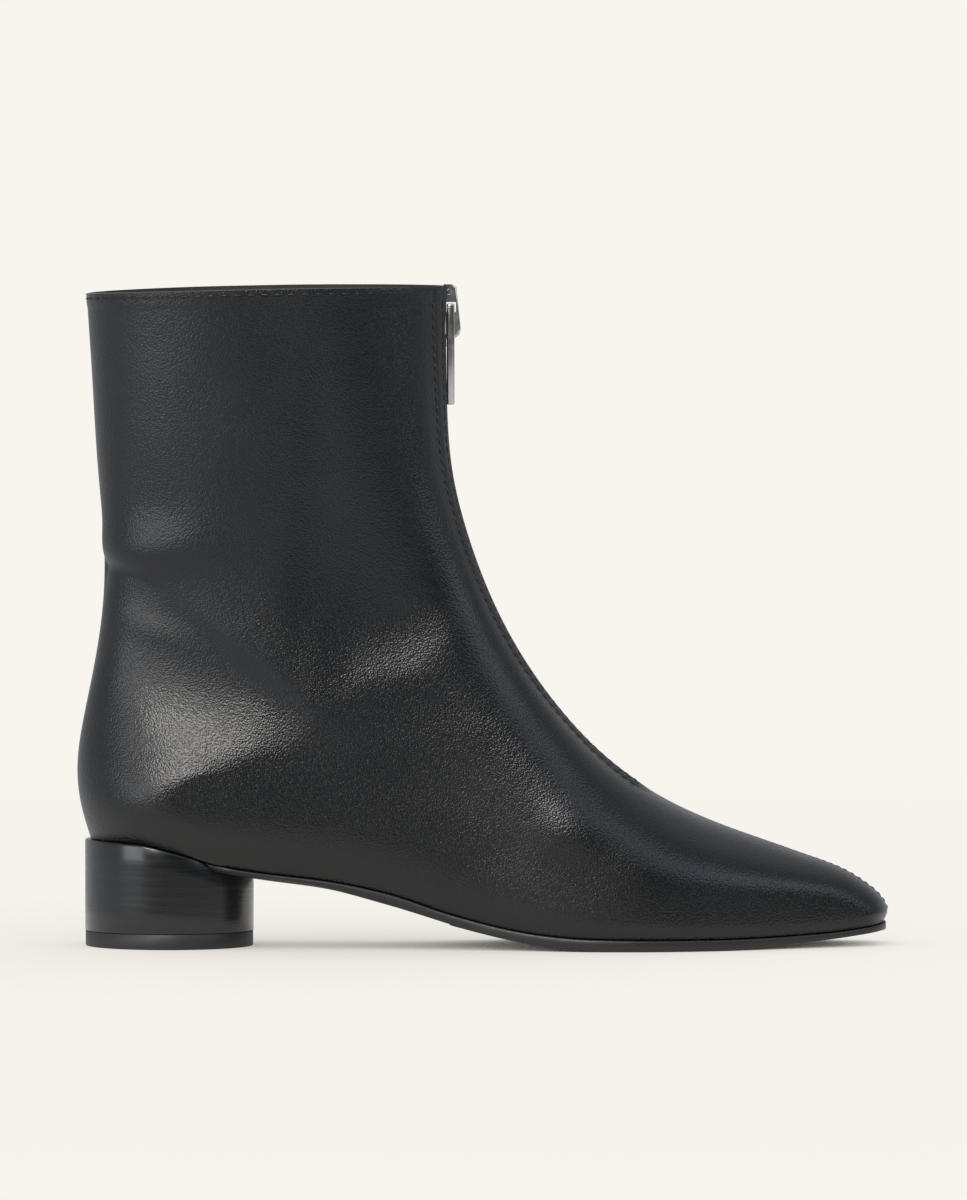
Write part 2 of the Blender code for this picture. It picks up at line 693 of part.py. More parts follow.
def unite(part, tool, operation="UNION"):
    tool.hide_render = True
    tool.display_type = "WIRE"
    join = part.modifiers.new(tool.name, "BOOLEAN")
    join.operation = operation
    join.solver = "EXACT"
    join.object = tool


# The slider: a block in the opening, and the crown that the pull tab hangs on, with a window for its bar.
slider = sweep("zip_slider", (
    (SLIDER_BACK, SLIDER_LOW), (SLIDER_FACE, SLIDER_LOW),
    (SLIDER_FACE, SLIDER_HIGH), (SLIDER_BACK, SLIDER_HIGH)), SLIDER_HALF, zip_metal)
crown_side = ((-12.4, 210.6), (-9.4, 210.5), (-8.3, 209.5), (-6.9, 196.4), (-7.4, 194.4), (-9.0, 193.2),
              (-12.4, 193.2), (-12.4, 201.8), (-8.55, 201.8), (-8.55, 204.8), (-12.4, 204.8))
slider_crown = sweep("slider_crown", crown_side[::-1], CROWN_HALF, zip_metal)
unite(slider, slider_crown)

# The pull tab: a bar with an eye around the crown, hung on the bar at the top of its eye.
tab_pivot = (TAB_PIVOT_X * MM, 0.0, TAB_PIVOT_Z * MM)
tab_round = 0.5 * TAB_THICK
tab_side = []
for turn in range(9):
    angle = math.pi * turn / 8.0
    tab_side.append((tab_round * math.cos(angle), tab_round * math.sin(angle)))
tab_side.extend([(-tab_round, -TAB_LENGTH + 0.4), (-tab_round + 0.4, -TAB_LENGTH),
                 (tab_round - 0.4, -TAB_LENGTH), (tab_round, -TAB_LENGTH + 0.4)])
pull_tab = sweep("zip_pull_tab", tab_side, TAB_HALF, zip_metal)
pull_tab.location = tab_pivot
eye_side = [(-4.0, -TAB_EYE_LENGTH), (4.0, -TAB_EYE_LENGTH), (4.0, -TAB_EYE_TOP)]
for turn in range(9):
    angle = -math.asin(TAB_EYE_TOP / TAB_BAR) - (math.pi - 2.0 * math.asin(TAB_EYE_TOP / TAB_BAR)) * turn / 8.0
    eye_side.append((TAB_BAR * math.cos(angle), TAB_BAR * math.sin(angle)))
eye_side.append((-4.0, -TAB_EYE_TOP))
tab_eye = sweep("tab_eye", eye_side, TAB_EYE_HALF, zip_metal)
tab_eye.location = tab_pivot
unite(pull_tab, tab_eye, "DIFFERENCE")
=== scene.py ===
"""Looks of a heeled ankle boot with a front zip, for the right foot.

The toe points along +X, the outer side of the foot lies at -Y and the shaft rises along +Z.
Sizes are in millimetres, and each mesh is turned into metres as its object is made.
"""
import json
import math
from collections import namedtuple

import bmesh
import bpy
import numpy as np
from mathutils import Matrix, Vector, noise

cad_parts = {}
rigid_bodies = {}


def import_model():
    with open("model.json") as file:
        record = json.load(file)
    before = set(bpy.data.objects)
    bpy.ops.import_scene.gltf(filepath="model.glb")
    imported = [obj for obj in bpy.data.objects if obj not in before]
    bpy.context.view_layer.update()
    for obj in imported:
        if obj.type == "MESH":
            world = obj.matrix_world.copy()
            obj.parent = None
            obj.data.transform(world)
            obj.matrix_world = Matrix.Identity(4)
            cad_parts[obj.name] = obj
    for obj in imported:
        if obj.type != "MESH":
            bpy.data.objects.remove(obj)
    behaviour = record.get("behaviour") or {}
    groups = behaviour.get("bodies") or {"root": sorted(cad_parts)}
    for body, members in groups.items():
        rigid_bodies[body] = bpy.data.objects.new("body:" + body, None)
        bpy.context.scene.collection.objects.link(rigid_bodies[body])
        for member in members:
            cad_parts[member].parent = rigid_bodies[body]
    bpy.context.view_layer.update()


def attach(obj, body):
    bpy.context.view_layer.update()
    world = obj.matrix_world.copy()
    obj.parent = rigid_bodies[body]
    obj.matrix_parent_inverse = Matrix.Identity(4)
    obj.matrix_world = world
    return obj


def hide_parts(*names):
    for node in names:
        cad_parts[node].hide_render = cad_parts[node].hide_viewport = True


for startup_object in list(bpy.data.objects):
    bpy.data.objects.remove(startup_object, do_unlink=True)
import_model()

MM = 0.001

# The upper: an outer and an inner panel of thin black calf leather, sewn together at the back
# and over the vamp, pulled over the last and tucked under it. The zip parts them at the front.
LATERAL = -1.0
MEDIAL = 1.0
LEATHER_THICK = 1.4
LEATHER_EDGE_ROUND = 0.45
ZIP_ROWS = (4.6, 10.4)
COLLAR_ROW = 1.6
PANEL_COLUMNS = 150
PANEL_ROWS = 160
SLOT_HALF = 3.2
SLIDER_ROOM = 2.6
SLIDER_ROOM_FROM_TOP = 13.5
SLIDER_ROOM_LONG = 5.5
ZIP_START = 88.0
COLLAR_BACK = 207.6
COLLAR_BOW = 0.7
FRONT_SPREAD = 1.5
BACK_SPREAD = 1.25
TURNED_EDGE = 0.35
TURNED_EDGE_WIDE = 12.6
TURNED_COLLAR = 0.25
LOOSENESS = 0.16
VAMP_STITCH = 2.5
VAMP_SEAM_FINE_TO = 66.0
SHAFT_FROM = 60.0
SHAFT_FULL = 122.0

# The back seam, from the heel seat up to the collar.
Back = namedtuple("Back", "z x round_depth")
BACK_LINE = (
    Back(34.4, -124.9, 29.0),
    Back(44.0, -127.7, 33.0),
    Back(57.0, -129.1, 43.0),
    Back(72.0, -127.2, 58.0),
    Back(90.0, -123.6, 66.0),
    Back(108.0, -121.0, 66.0),
    Back(124.0, -120.4, 62.0),
    Back(150.0, -122.3, 56.0),
    Back(180.0, -124.2, 52.0),
    Back(207.6, -126.0, 50.0),
)

# The centre front, from the toe's lower edge over the vamp and up to the collar.
Front = namedtuple("Front", "x z round_depth squareness")
FRONT_LINE = (
    Front(127.9, 7.3, 8.0, 2.6),
    Front(129.2, 10.6, 8.5, 2.6),
    Front(128.0, 14.0, 9.0, 2.6),
    Front(123.2, 18.7, 9.5, 2.6),
    Front(115.0, 23.8, 10.5, 2.6),
    Front(104.0, 28.2, 13.0, 2.5),
    Front(86.0, 34.5, 18.0, 2.4),
    Front(63.0, 43.8, 26.0, 2.5),
    Front(40.0, 58.8, 30.0, 2.8),
    Front(22.0, 78.0, 30.0, 3.0),
    Front(5.9, 103.5, 29.0, 3.0),
    Front(-4.4, 129.0, 31.0, 2.8),
    Front(-10.0, 152.0, 35.0, 2.5),
    Front(-11.5, 172.0, 39.0, 2.3),
    Front(-11.6, 210.0, 50.0, 2.1),
)

# The lower edge of the upper, and the sole's edge and underside below it.
Bottom = namedtuple("Bottom", "x feather edge underside bevel")
BOTTOM_LINE = (
    Bottom(-127.0, 34.4, 1.4, 32.2, 0.6),
    Bottom(-110.0, 33.6, 1.4, 31.2, 0.6),
    Bottom(-97.0, 30.7, 1.3, 28.3, 0.8),
    Bottom(-84.0, 26.9, 1.0, 24.1, 1.2),
    Bottom(-70.0, 24.6, 0.9, 21.7, 1.8),
    Bottom(-50.0, 22.2, 2.1, 18.9, 1.8),
    Bottom(-30.0, 18.1, 3.2, 13.8, 0.8),
    Bottom(-10.0, 11.6, 3.0, 7.9, 0.6),
    Bottom(10.0, 6.7, 2.9, 3.1, 0.5),
    Bottom(22.0, 5.0, 3.2, 1.0, 0.5),
    Bottom(33.0, 4.2, 3.1, 0.0, 0.5),
    Bottom(50.0, 3.9, 3.1, 0.0, 0.5),
    Bottom(76.0, 3.8, 3.0, 0.0, 0.5),
    Bottom(91.0, 4.1, 2.3, 1.0, 0.5),
    Bottom(111.0, 5.1, 1.8, 2.7, 0.4),
    Bottom(121.0, 6.2, 1.7, 3.9, 0.4),
    Bottom(130.0, 7.6, 1.7, 5.2, 0.4),
)

# The last in plan: its axis across Y, and its half-widths to either side of the axis at the lower edge.
# swell is how far the side stands out above that edge, within swell_height, and lean how it draws
# in above.
Plan = namedtuple("Plan", "x axis lateral medial swell_lateral swell_medial swell_height lean")
PLAN = (
    Plan(-130.0, 0.0, 25.4, 25.4, 4.4, 4.4, 16.0, 0.045),
    Plan(-100.0, 0.0, 25.4, 25.4, 4.6, 4.8, 15.0, 0.045),
    Plan(-70.0, 0.0, 25.2, 24.2, 4.4, 5.4, 17.0, 0.050),
    Plan(-35.0, 0.3, 26.2, 21.3, 3.6, 6.0, 18.0, 0.050),
    Plan(0.0, 1.2, 30.6, 25.0, 2.4, 4.4, 13.0, 0.055),
    Plan(30.0, 2.6, 37.8, 31.6, 1.7, 2.2, 7.5, 0.075),
    Plan(55.0, 4.0, 39.8, 33.4, 1.4, 1.6, 5.5, 0.085),
    Plan(80.0, 5.4, 34.4, 29.6, 1.2, 1.2, 5.0, 0.085),
    Plan(100.0, 6.5, 26.4, 22.8, 1.0, 1.0, 4.5, 0.075),
    Plan(115.0, 7.2, 19.6, 16.8, 0.9, 0.9, 4.5, 0.065),
    Plan(124.0, 7.5, 15.8, 13.8, 0.8, 0.8, 4.5, 0.050),
    Plan(132.0, 7.6, 13.2, 11.8, 0.8, 0.8, 4.5, 0.050),
)
LEAN_FROM = 10.0

# The shaft's half-width, which the foot blends into with height.
Shaft = namedtuple("Shaft", "z half")
SHAFT = (
    Shaft(40.0, 30.4),
    Shaft(60.0, 29.0),
    Shaft(75.0, 27.8),
    Shaft(90.0, 27.0),
    Shaft(105.0, 26.8),
    Shaft(124.0, 27.2),
    Shaft(150.0, 28.4),
    Shaft(180.0, 30.0),
    Shaft(212.0, 31.6),
)

# The bend between the stiff foot and the soft shaft, from the heel's counter up to the instep: points
# along it, how far the leather draws in above it, and over what width.
Bend = namedtuple("Bend", "x z drop wide")
ANKLE_BEND = (
    Bend(-126.0, 73.0, 0.0, 18.0),
    Bend(-118.0, 72.0, 1.0, 21.0),
    Bend(-108.0, 68.5, 3.2, 24.0),
    Bend(-94.0, 63.0, 4.0, 24.0),
    Bend(-82.0, 61.5, 3.4, 23.0),
    Bend(-70.0, 62.5, 2.4, 22.0),
    Bend(-58.0, 66.0, 1.4, 21.0),
    Bend(-49.0, 77.5, 1.4, 20.0),
    Bend(-41.0, 83.5, 1.8, 20.0),
    Bend(-33.0, 86.0, 2.0, 20.0),
    Bend(-26.0, 87.5, 2.0, 19.0),
    Bend(-17.0, 91.5, 1.5, 15.0),
    Bend(-8.0, 101.0, 0.9, 10.0),
    Bend(4.0, 112.0, 0.0, 9.0),
)
BEND_SHARP = 3.0
BEND_RECOVERS = 34.0

# Soft swells where the leather creases over the ankle: the middle in the side view, the lean of the long
# way from level, half the length, half the width below and above the crest, and the height off the last.
Swell = namedtuple("Swell", "side x z lean long low high height")
SWELLS = (
    Swell(LATERAL, -107.0, 126.5, 5.0, 19.0, 7.0, 9.0, 2.4),
    Swell(LATERAL, -104.0, 101.0, -20.0, 16.0, 5.0, 5.0, 0.7),
    Swell(LATERAL, -73.0, 96.0, -38.0, 30.0, 6.5, 17.0, 2.1),
    Swell(LATERAL, 26.0, 37.5, -10.0, 12.0, 7.0, 9.0, 1.1),
    Swell(MEDIAL, -104.0, 128.0, 8.0, 15.0, 7.0, 10.0, 1.0),
    Swell(MEDIAL, -103.0, 100.0, -16.0, 16.0, 6.0, 6.0, 0.6),
    Swell(MEDIAL, -67.0, 91.0, -38.0, 24.0, 9.5, 9.5, 0.9),
    Swell(MEDIAL, 26.0, 42.0, -10.0, 13.0, 8.0, 8.0, 0.6),
)

# The crease that folds in behind the ankle: points along it, how deep and how wide it is there.
Crease = namedtuple("Crease", "x z depth wide")
ANKLE_CREASE = {
    LATERAL: (
        Crease(-124.0, 121.8, 2.2, 6.0),
        Crease(-115.0, 120.0, 1.5, 4.5),
        Crease(-108.0, 117.5, 0.6, 4.5),
        Crease(-99.0, 113.0, 0.0, 4.5),
    ),
    MEDIAL: (
        Crease(-124.0, 120.0, 1.6, 6.5),
        Crease(-112.0, 118.0, 1.2, 5.0),
        Crease(-102.0, 114.0, 0.6, 4.5),
        Crease(-92.0, 108.0, 0.0, 4.5),
    ),
}


def column(table, name):
    """One column of a table as an array."""
    return np.array([getattr(row, name) for row in table], float)


def spline(knots, values, at):
    """Cubic curve through the values, held level past both ends."""
    count = len(knots)
    step = np.diff(knots)
    slope = np.diff(values) / step
    system = np.eye(count)
    target = np.zeros(count)
    for row in range(1, count - 1):
        system[row, row - 1:row + 2] = (step[row - 1], 2.0 * (step[row - 1] + step[row]), step[row])
        target[row] = 6.0 * (slope[row] - slope[row - 1])
    bend = np.linalg.solve(system, target)
    at = np.clip(np.asarray(at, float), knots[0], knots[-1])
    left = np.clip(np.searchsorted(knots, at) - 1, 0, count - 2)
    size = step[left]
    near = (at - knots[left]) / size
    far = 1.0 - near
    bow = (far ** 3 - far) * bend[left] + (near ** 3 - near) * bend[left + 1]
    return far * values[left] + near * values[left + 1] + bow * size ** 2 / 6.0


def level_curve(knots, values, at):
    """Curve through the values that never swings past them, so that level runs stay level."""
    step = np.diff(knots)
    slope = np.diff(values) / step
    tangent = np.zeros(len(knots))
    for row in range(1, len(knots) - 1):
        before = slope[row - 1]
        after = slope[row]
        if before * after > 0.0:
            tangent[row] = 2.0 * before * after / (before + after)
    tangent[0] = slope[0]
    tangent[-1] = slope[-1]
    at = np.clip(np.asarray(at, float), knots[0], knots[-1])
    left = np.clip(np.searchsorted(knots, at) - 1, 0, len(knots) - 2)
    size = step[left]
    t = (at - knots[left]) / size
    start = (1.0 + 2.0 * t) * (1.0 - t) ** 2 * values[left] + t * (1.0 - t) ** 2 * size * tangent[left]
    end = t * t * (3.0 - 2.0 * t) * values[left + 1] + t * t * (t - 1.0) * size * tangent[left + 1]
    return start + end


def ease(low, high, value):
    """Soft step from 0 at low to 1 at high."""
    t = np.clip((np.asarray(value, float) - low) / (high - low), 0.0, 1.0)
    return t * t * (3.0 - 2.0 * t)


def bottom(name, x):
    """A column of the lower edge's table, along x."""
    return level_curve(column(BOTTOM_LINE, "x"), column(BOTTOM_LINE, name), x)


def plan(name, x):
    """A column of the plan's table, along x."""
    return spline(column(PLAN, "x"), column(PLAN, name), x)


def back_x(z):
    """Back seam's x at a height."""
    return spline(column(BACK_LINE, "z"), column(BACK_LINE, "x"), z)


def run_lengths(x, z):
    """Length of a line of points up to each of them."""
    return np.concatenate(([0.0], np.cumsum(np.hypot(np.diff(x), np.diff(z)))))


def close_at_ends(count):
    """Shares from 0 to 1 that lie closer together at both ends."""
    return 0.5 - 0.5 * np.cos(np.linspace(0.0, math.pi, count))


front_knots = run_lengths(column(FRONT_LINE, "x"), column(FRONT_LINE, "z"))
front_fine = np.linspace(0.0, front_knots[-1], 1400)
FRONT_X = spline(front_knots, column(FRONT_LINE, "x"), front_fine)
FRONT_Z = spline(front_knots, column(FRONT_LINE, "z"), front_fine)
FRONT_RUN = run_lengths(FRONT_X, FRONT_Z)
FRONT_DEPTH = level_curve(front_knots, column(FRONT_LINE, "round_depth"), front_fine)
FRONT_SQUARE = level_curve(front_knots, column(FRONT_LINE, "squareness"), front_fine)
FRONT_LENGTH = FRONT_RUN[-1]
SEAT_Z = BACK_LINE[0].z
back_fine = np.linspace(SEAT_Z, BACK_LINE[-1].z, 700)
BACK_X = back_x(back_fine)
BACK_DEPTH = level_curve(column(BACK_LINE, "z"), column(BACK_LINE, "round_depth"), back_fine)


def front_point(run):
    """Point of the centre front in the side view, run along it from the toe."""
    return np.interp(run, FRONT_RUN, FRONT_X), np.interp(run, FRONT_RUN, FRONT_Z)


def line_distance(x, z, line_x, line_z):
    """Distance from each point to a fine line, and the place on the line that is nearest."""
    nearest = np.zeros(len(x), int)
    for start in range(0, len(x), 4000):
        part = slice(start, start + 4000)
        apart = (x[part, None] - line_x[None, :]) ** 2 + (z[part, None] - line_z[None, :]) ** 2
        nearest[part] = np.argmin(apart, axis=1)
    best = np.hypot(x - line_x[nearest], z - line_z[nearest])
    for start in (np.clip(nearest - 1, 0, len(line_x) - 2), np.clip(nearest, 0, len(line_x) - 2)):
        ax = line_x[start]
        az = line_z[start]
        bx = line_x[start + 1] - ax
        bz = line_z[start + 1] - az
        share = np.clip(((x - ax) * bx + (z - az) * bz) / (bx * bx + bz * bz), 0.0, 1.0)
        best = np.minimum(best, np.hypot(x - ax - share * bx, z - az - share * bz))
    return best, nearest


def rounding(distance, depth, squareness):
    """Share of the full half-width that is reached at a distance in from the profile."""
    rest = np.clip(1.0 - distance / depth, 0.0, 1.0)
    return (1.0 - rest ** squareness) ** (1.0 / squareness)


def axis_y(x, z):
    """Middle of the last across Y, which swings to the inner side at the toe."""
    return plan("axis", x) * (1.0 - ease(SHAFT_FROM, SHAFT_FULL, z))


def bend_drop(x, z):
    """How far the leather draws in above the bend between foot and shaft: soft again further up."""
    knots = column(ANKLE_BEND, "x")
    heights = column(ANKLE_BEND, "z")
    slope = 0.25 * (spline(knots, heights, x + 2.0) - spline(knots, heights, x - 2.0))
    above = (z - spline(knots, heights, x)) / np.hypot(1.0, slope)
    rise = 0.5 * (above + np.hypot(above, BEND_SHARP))
    wide = spline(knots, column(ANKLE_BEND, "wide"), x)
    to_go = np.clip(1.0 - rise / wide, 0.0, 1.0)
    past = np.clip(rise - wide, 0.0, None)
    drop = spline(knots, column(ANKLE_BEND, "drop"), x) * (1.0 - to_go ** 2)
    return drop * np.exp(-(past / BEND_RECOVERS) ** 2)


def flank(x, z, side):
    """Half-width of the upper where neither the front nor the back rounds it off."""
    name = "lateral" if side == LATERAL else "medial"
    rise = np.clip((z - bottom("feather", x)) / plan("swell_height", x), 0.0, 1.0)
    foot = plan(name, x) + plan("swell_" + name, x) * (1.0 - (1.0 - rise) ** 2)
    over = np.clip(z - bottom("feather", x) - plan("swell_height", x), 0.0, None)
    foot = foot - plan("lean", x) * over ** 2 / (over + LEAN_FROM)
    shaft = spline(column(SHAFT, "z"), column(SHAFT, "half"), z)
    mix = ease(SHAFT_FROM, SHAFT_FULL, z)
    return foot * (1.0 - mix) + shaft * mix - bend_drop(x, z)


def half_width(x, z, side):
    """Half-width of the last at points of its side view."""
    from_front, front_at = line_distance(x, z, FRONT_X, FRONT_Z)
    from_back, back_at = line_distance(x, z, BACK_X, back_fine)
    crown = rounding(from_front, FRONT_DEPTH[front_at], FRONT_SQUARE[front_at])
    return flank(x, z, side) * crown * rounding(from_back, BACK_DEPTH[back_at], 2.0)


def course_line(run, back_z, share):
    """Side view of a course of the upper, share of the way along it from the back to the front."""
    rise = 0.5 * (run / FRONT_LENGTH + (back_z - SEAT_Z) / (COLLAR_BACK - SEAT_Z))
    front_x, front_z = front_point(run)
    x = back_x(back_z) * (1.0 - share) + front_x * share
    z = back_z * (1.0 - share) + front_z * share
    chord_x = BACK_X[0] * (1.0 - share) + FRONT_X[0] * share
    sag = bottom("feather", chord_x) - (SEAT_Z * (1.0 - share) + FRONT_Z[0] * share)
    sag = sag - (bottom("feather", BACK_X[0]) - SEAT_Z) * (1.0 - share)
    sag = sag - (bottom("feather", FRONT_X[0]) - FRONT_Z[0]) * share
    bow = COLLAR_BOW * 4.0 * share * (1.0 - share) * rise ** 6
    return x, z + sag * (1.0 - rise) ** 1.6 + bow


def slot_half(run):
    """Half-width of the zip's slot, which closes to a point at its lower end."""
    return SLOT_HALF * ease(ZIP_START - 2.0, ZIP_START + 8.0, run)


def opening_half(run):
    """Half-width of the front opening: the slider's shoulders push the slot's edges a little apart."""
    from_top = FRONT_LENGTH - run
    room = SLIDER_ROOM * np.exp(-((from_top - SLIDER_ROOM_FROM_TOP) / SLIDER_ROOM_LONG) ** 2)
    return slot_half(run) + room


def course_at(up):
    """How far up the front and the back a course starts and ends, for a share of the panel's height."""
    return FRONT_LENGTH * up ** FRONT_SPREAD, SEAT_Z + (COLLAR_BACK - SEAT_Z) * up ** BACK_SPREAD


def up_at(run):
    """Share of the panel's height at which a course meets the front, run along it."""
    return (run / FRONT_LENGTH) ** (1.0 / FRONT_SPREAD)


def panel_height(across):
    """Length of a panel from its lower edge to the collar: short at the back, long over the front."""
    return 216.0 + 190.0 * across


PANEL_UPS = np.linspace(0.0, 1.0, 320)
PANEL_END = {}
for panel_side in (LATERAL, MEDIAL):
    near_front = 1.0 - np.linspace(0.45, 0.0, 90) ** 2
    ups, shares = np.meshgrid(PANEL_UPS, near_front, indexing="ij")
    runs, back_zs = course_at(ups.ravel())
    side_x, side_z = course_line(runs, back_zs, shares.ravel())
    halves = half_width(side_x, side_z, panel_side).reshape(ups.shape)
    halves[:, -1] = 0.0
    edges = opening_half(course_at(PANEL_UPS)[0])
    PANEL_END[panel_side] = np.array(
        [np.interp(-edge, -row, near_front) for edge, row in zip(edges, halves)])


def panel_points(side, across, up):
    """Points of a panel on the last: across from the back seam to the front edge, up to the collar."""
    run, back_z = course_at(up)
    bend = math.pi * (1.0 - 0.06 * ease(ZIP_START - 2.0, ZIP_START + 14.0, run))
    share = (1.0 - np.cos(bend * across)) / (1.0 - np.cos(bend))
    share = share * np.interp(up, PANEL_UPS, PANEL_END[side])
    x, z = course_line(run, back_z, share)
    half = half_width(x, z, side)
    half[across <= 0.0] = 0.0
    return np.stack((x, axis_y(x, z) + side * half, z), axis=1)


def crease_depth(table, x, z):
    """Depth of a listed crease at points of the side view: sharp at its line, soft away from it."""
    knots = run_lengths(column(table, "x"), column(table, "z"))
    fine = np.linspace(0.0, knots[-1], 160)
    line_x = spline(knots, column(table, "x"), fine)
    line_z = spline(knots, column(table, "z"), fine)
    away, at = line_distance(x, z, line_x, line_z)
    depth = np.interp(fine, knots, column(table, "depth"))[at]
    wide = np.interp(fine, knots, column(table, "wide"))[at]
    return depth * np.exp(-np.sqrt((away / wide) ** 2 * 2.0 + 0.09) + 0.3)


def zip_edge(points, up):
    """Distance of points from the zip's slot, and 1 where they lie beside it."""
    x, y, z = points.T
    run = course_at(up)[0]
    beside = ease(ZIP_START, ZIP_START + 10.0, run) * np.where(x > -60.0, 1.0, 0.0)
    return np.abs(y - axis_y(x, z)) - slot_half(run), beside


def leather_lift(side, across, up, points):
    """How far the worked leather stands off the last, by the listed creases, folds and seams."""
    x, y, z = points.T
    lift = np.zeros(len(x))
    for swell in SWELLS:
        if swell.side == side:
            lean = math.radians(swell.lean)
            along = (x - swell.x) * math.cos(lean) + (z - swell.z) * math.sin(lean)
            over = (z - swell.z) * math.cos(lean) - (x - swell.x) * math.sin(lean)
            wide = np.where(over > 0.0, swell.high, swell.low)
            lift += swell.height * np.exp(-(along / swell.long) ** 2 - (over / wide) ** 2)
    lift -= crease_depth(ANKLE_CREASE[side], x, z)
    wave = [noise.noise(Vector((a / 21.0, b / 30.0, c / 17.0))) for a, b, c in points]
    lift += LOOSENESS * np.array(wave)
    # The back seam and the edges hold the leather to the last.
    from_middle = np.abs(y - axis_y(x, z))
    run = course_at(up)[0]
    lift *= np.where(x < -90.0, ease(0.4, 3.4, from_middle), 1.0)
    lift *= ease(0.0, 0.05, up) * (1.0 - 0.8 * ease(0.93, 1.0, up))
    # The turned edge along the zip is two layers thick, and its two rows of stitches draw it in.
    from_edge, beside_zip = zip_edge(points, up)
    turned = TURNED_EDGE * (1.0 - ease(TURNED_EDGE_WIDE - 2.0, TURNED_EDGE_WIDE, from_edge))
    for row in ZIP_ROWS:
        turned -= TURNED_EDGE * np.exp(-((from_edge - row) / 0.8) ** 2)
    lift = lift * (1.0 - beside_zip * (1.0 - ease(9.0, 18.0, from_edge))) + beside_zip * turned
    # The turned collar, with one row of stitches.
    below = (1.0 - up) * panel_height(across)
    lift += TURNED_COLLAR * (1.0 - ease(3.0, 4.6, below))
    lift -= TURNED_COLLAR * np.exp(-((below - COLLAR_ROW) / 0.6) ** 2)
    # The seam over the vamp puckers along its stitches.
    on_vamp = ease(1.5, 5.0, run) * (1.0 - ease(62.0, 78.0, run)) * np.where(x > 20.0, 1.0, 0.0)
    strong = 0.35 + 0.65 * (1.0 - ease(16.0, 40.0, run))
    beat = 0.5 + 0.5 * np.cos(2.0 * math.pi * run / VAMP_STITCH + 0.9 * np.sin(run / 5.3))
    ridges = 0.36 * beat * np.exp(-((from_middle - 1.0) / 0.9) ** 2)
    groove = 0.3 * np.exp(-(from_middle / 0.5) ** 2)
    return lift + on_vamp * strong * (ridges - groove)


def linear(hex_colour):
    """An sRGB hex colour as linear red, green, blue and full alpha."""
    channels = [int(hex_colour[start:start + 2], 16) / 255.0 for start in (1, 3, 5)]
    return (*[c / 12.92 if c <= 0.04045 else ((c + 0.055) / 1.055) ** 2.4 for c in channels], 1.0)


def add_node(tree, kind, inputs=None, **settings):
    """Adds one node with its settings, and gives its inputs values or links."""
    node = tree.nodes.new(kind)
    for name, value in settings.items():
        setattr(node, name, value)
    for name, value in (inputs or {}).items():
        if isinstance(value, bpy.types.NodeSocket):
            tree.links.new(value, node.inputs[name])
        else:
            node.inputs[name].default_value = value
    return node


def new_material(name):
    """A material with an empty principled shader: itself, its tree, that shader and its coordinates."""
    material = bpy.data.materials.new(name)
    material.use_nodes = True
    tree = material.node_tree
    where = add_node(tree, "ShaderNodeTexCoord").outputs["Object"]
    return material, tree, tree.nodes["Principled BSDF"], where


def speckle(tree, where, size, detail=2.0):
    """Noise with blotches of a size in millimetres."""
    blotches = add_node(tree, "ShaderNodeTexNoise", {
        "Vector": where, "Scale": 1.0 / (size * MM), "Detail": detail})
    return blotches.outputs["Fac"]


def stretched(tree, where, size, detail):
    """Noise drawn out into streaks, with a size in millimetres for each axis."""
    drawn = add_node(tree, "ShaderNodeMapping", {
        "Vector": where, "Scale": tuple(length * MM for length in size)}, vector_type="TEXTURE")
    streaks = add_node(tree, "ShaderNodeTexNoise", {
        "Vector": drawn.outputs[0], "Scale": 1.0, "Detail": detail})
    return streaks.outputs["Fac"]


def colour_by(tree, shader, amount, dark, light):
    """Lets a shader's colour go from dark to light with an amount."""
    tint = add_node(tree, "ShaderNodeMix", {
        "Factor": amount, "A": linear(dark), "B": linear(light)}, data_type="RGBA")
    tree.links.new(tint.outputs["Result"], shader.inputs["Base Color"])


def gloss_by(tree, shader, amount, smooth, rough, start=0.0, end=1.0):
    """Lets a shader's roughness go from smooth to rough as an amount goes from start to end."""
    gloss = add_node(tree, "ShaderNodeMapRange", {
        "Value": amount, "From Min": start, "From Max": end, "To Min": smooth, "To Max": rough})
    tree.links.new(gloss.outputs["Result"], shader.inputs["Roughness"])


def emboss(tree, shader, height, strength, deep):
    """Gives a shader relief by a height, with a depth in millimetres."""
    relief = add_node(tree, "ShaderNodeBump", {
        "Height": height, "Strength": strength, "Distance": deep * MM})
    tree.links.new(relief.outputs["Normal"], shader.inputs["Normal"])


def new_piece(name, shape, material, body, slot, *nodes):
    """Finishes a piece: its mesh in metres, its material, the body it rides on and what it stands for."""
    bmesh.ops.transform(shape, matrix=Matrix.Scale(MM, 4), verts=shape.verts[:])
    mesh = bpy.data.meshes.new(name)
    shape.to_mesh(mesh)
    shape.free()
    mesh.shade_smooth()
    mesh.materials.append(material)
    piece = bpy.data.objects.new(name, mesh)
    bpy.context.scene.collection.objects.link(piece)
    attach(piece, body)
    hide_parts(*nodes)
    return piece


def thicken(piece, name, thick):
    """Gives a sheet its thickness, inwards from its face."""
    wall = piece.modifiers.new(name, "SOLIDIFY")
    wall.thickness = thick * MM
    wall.offset = -1.0


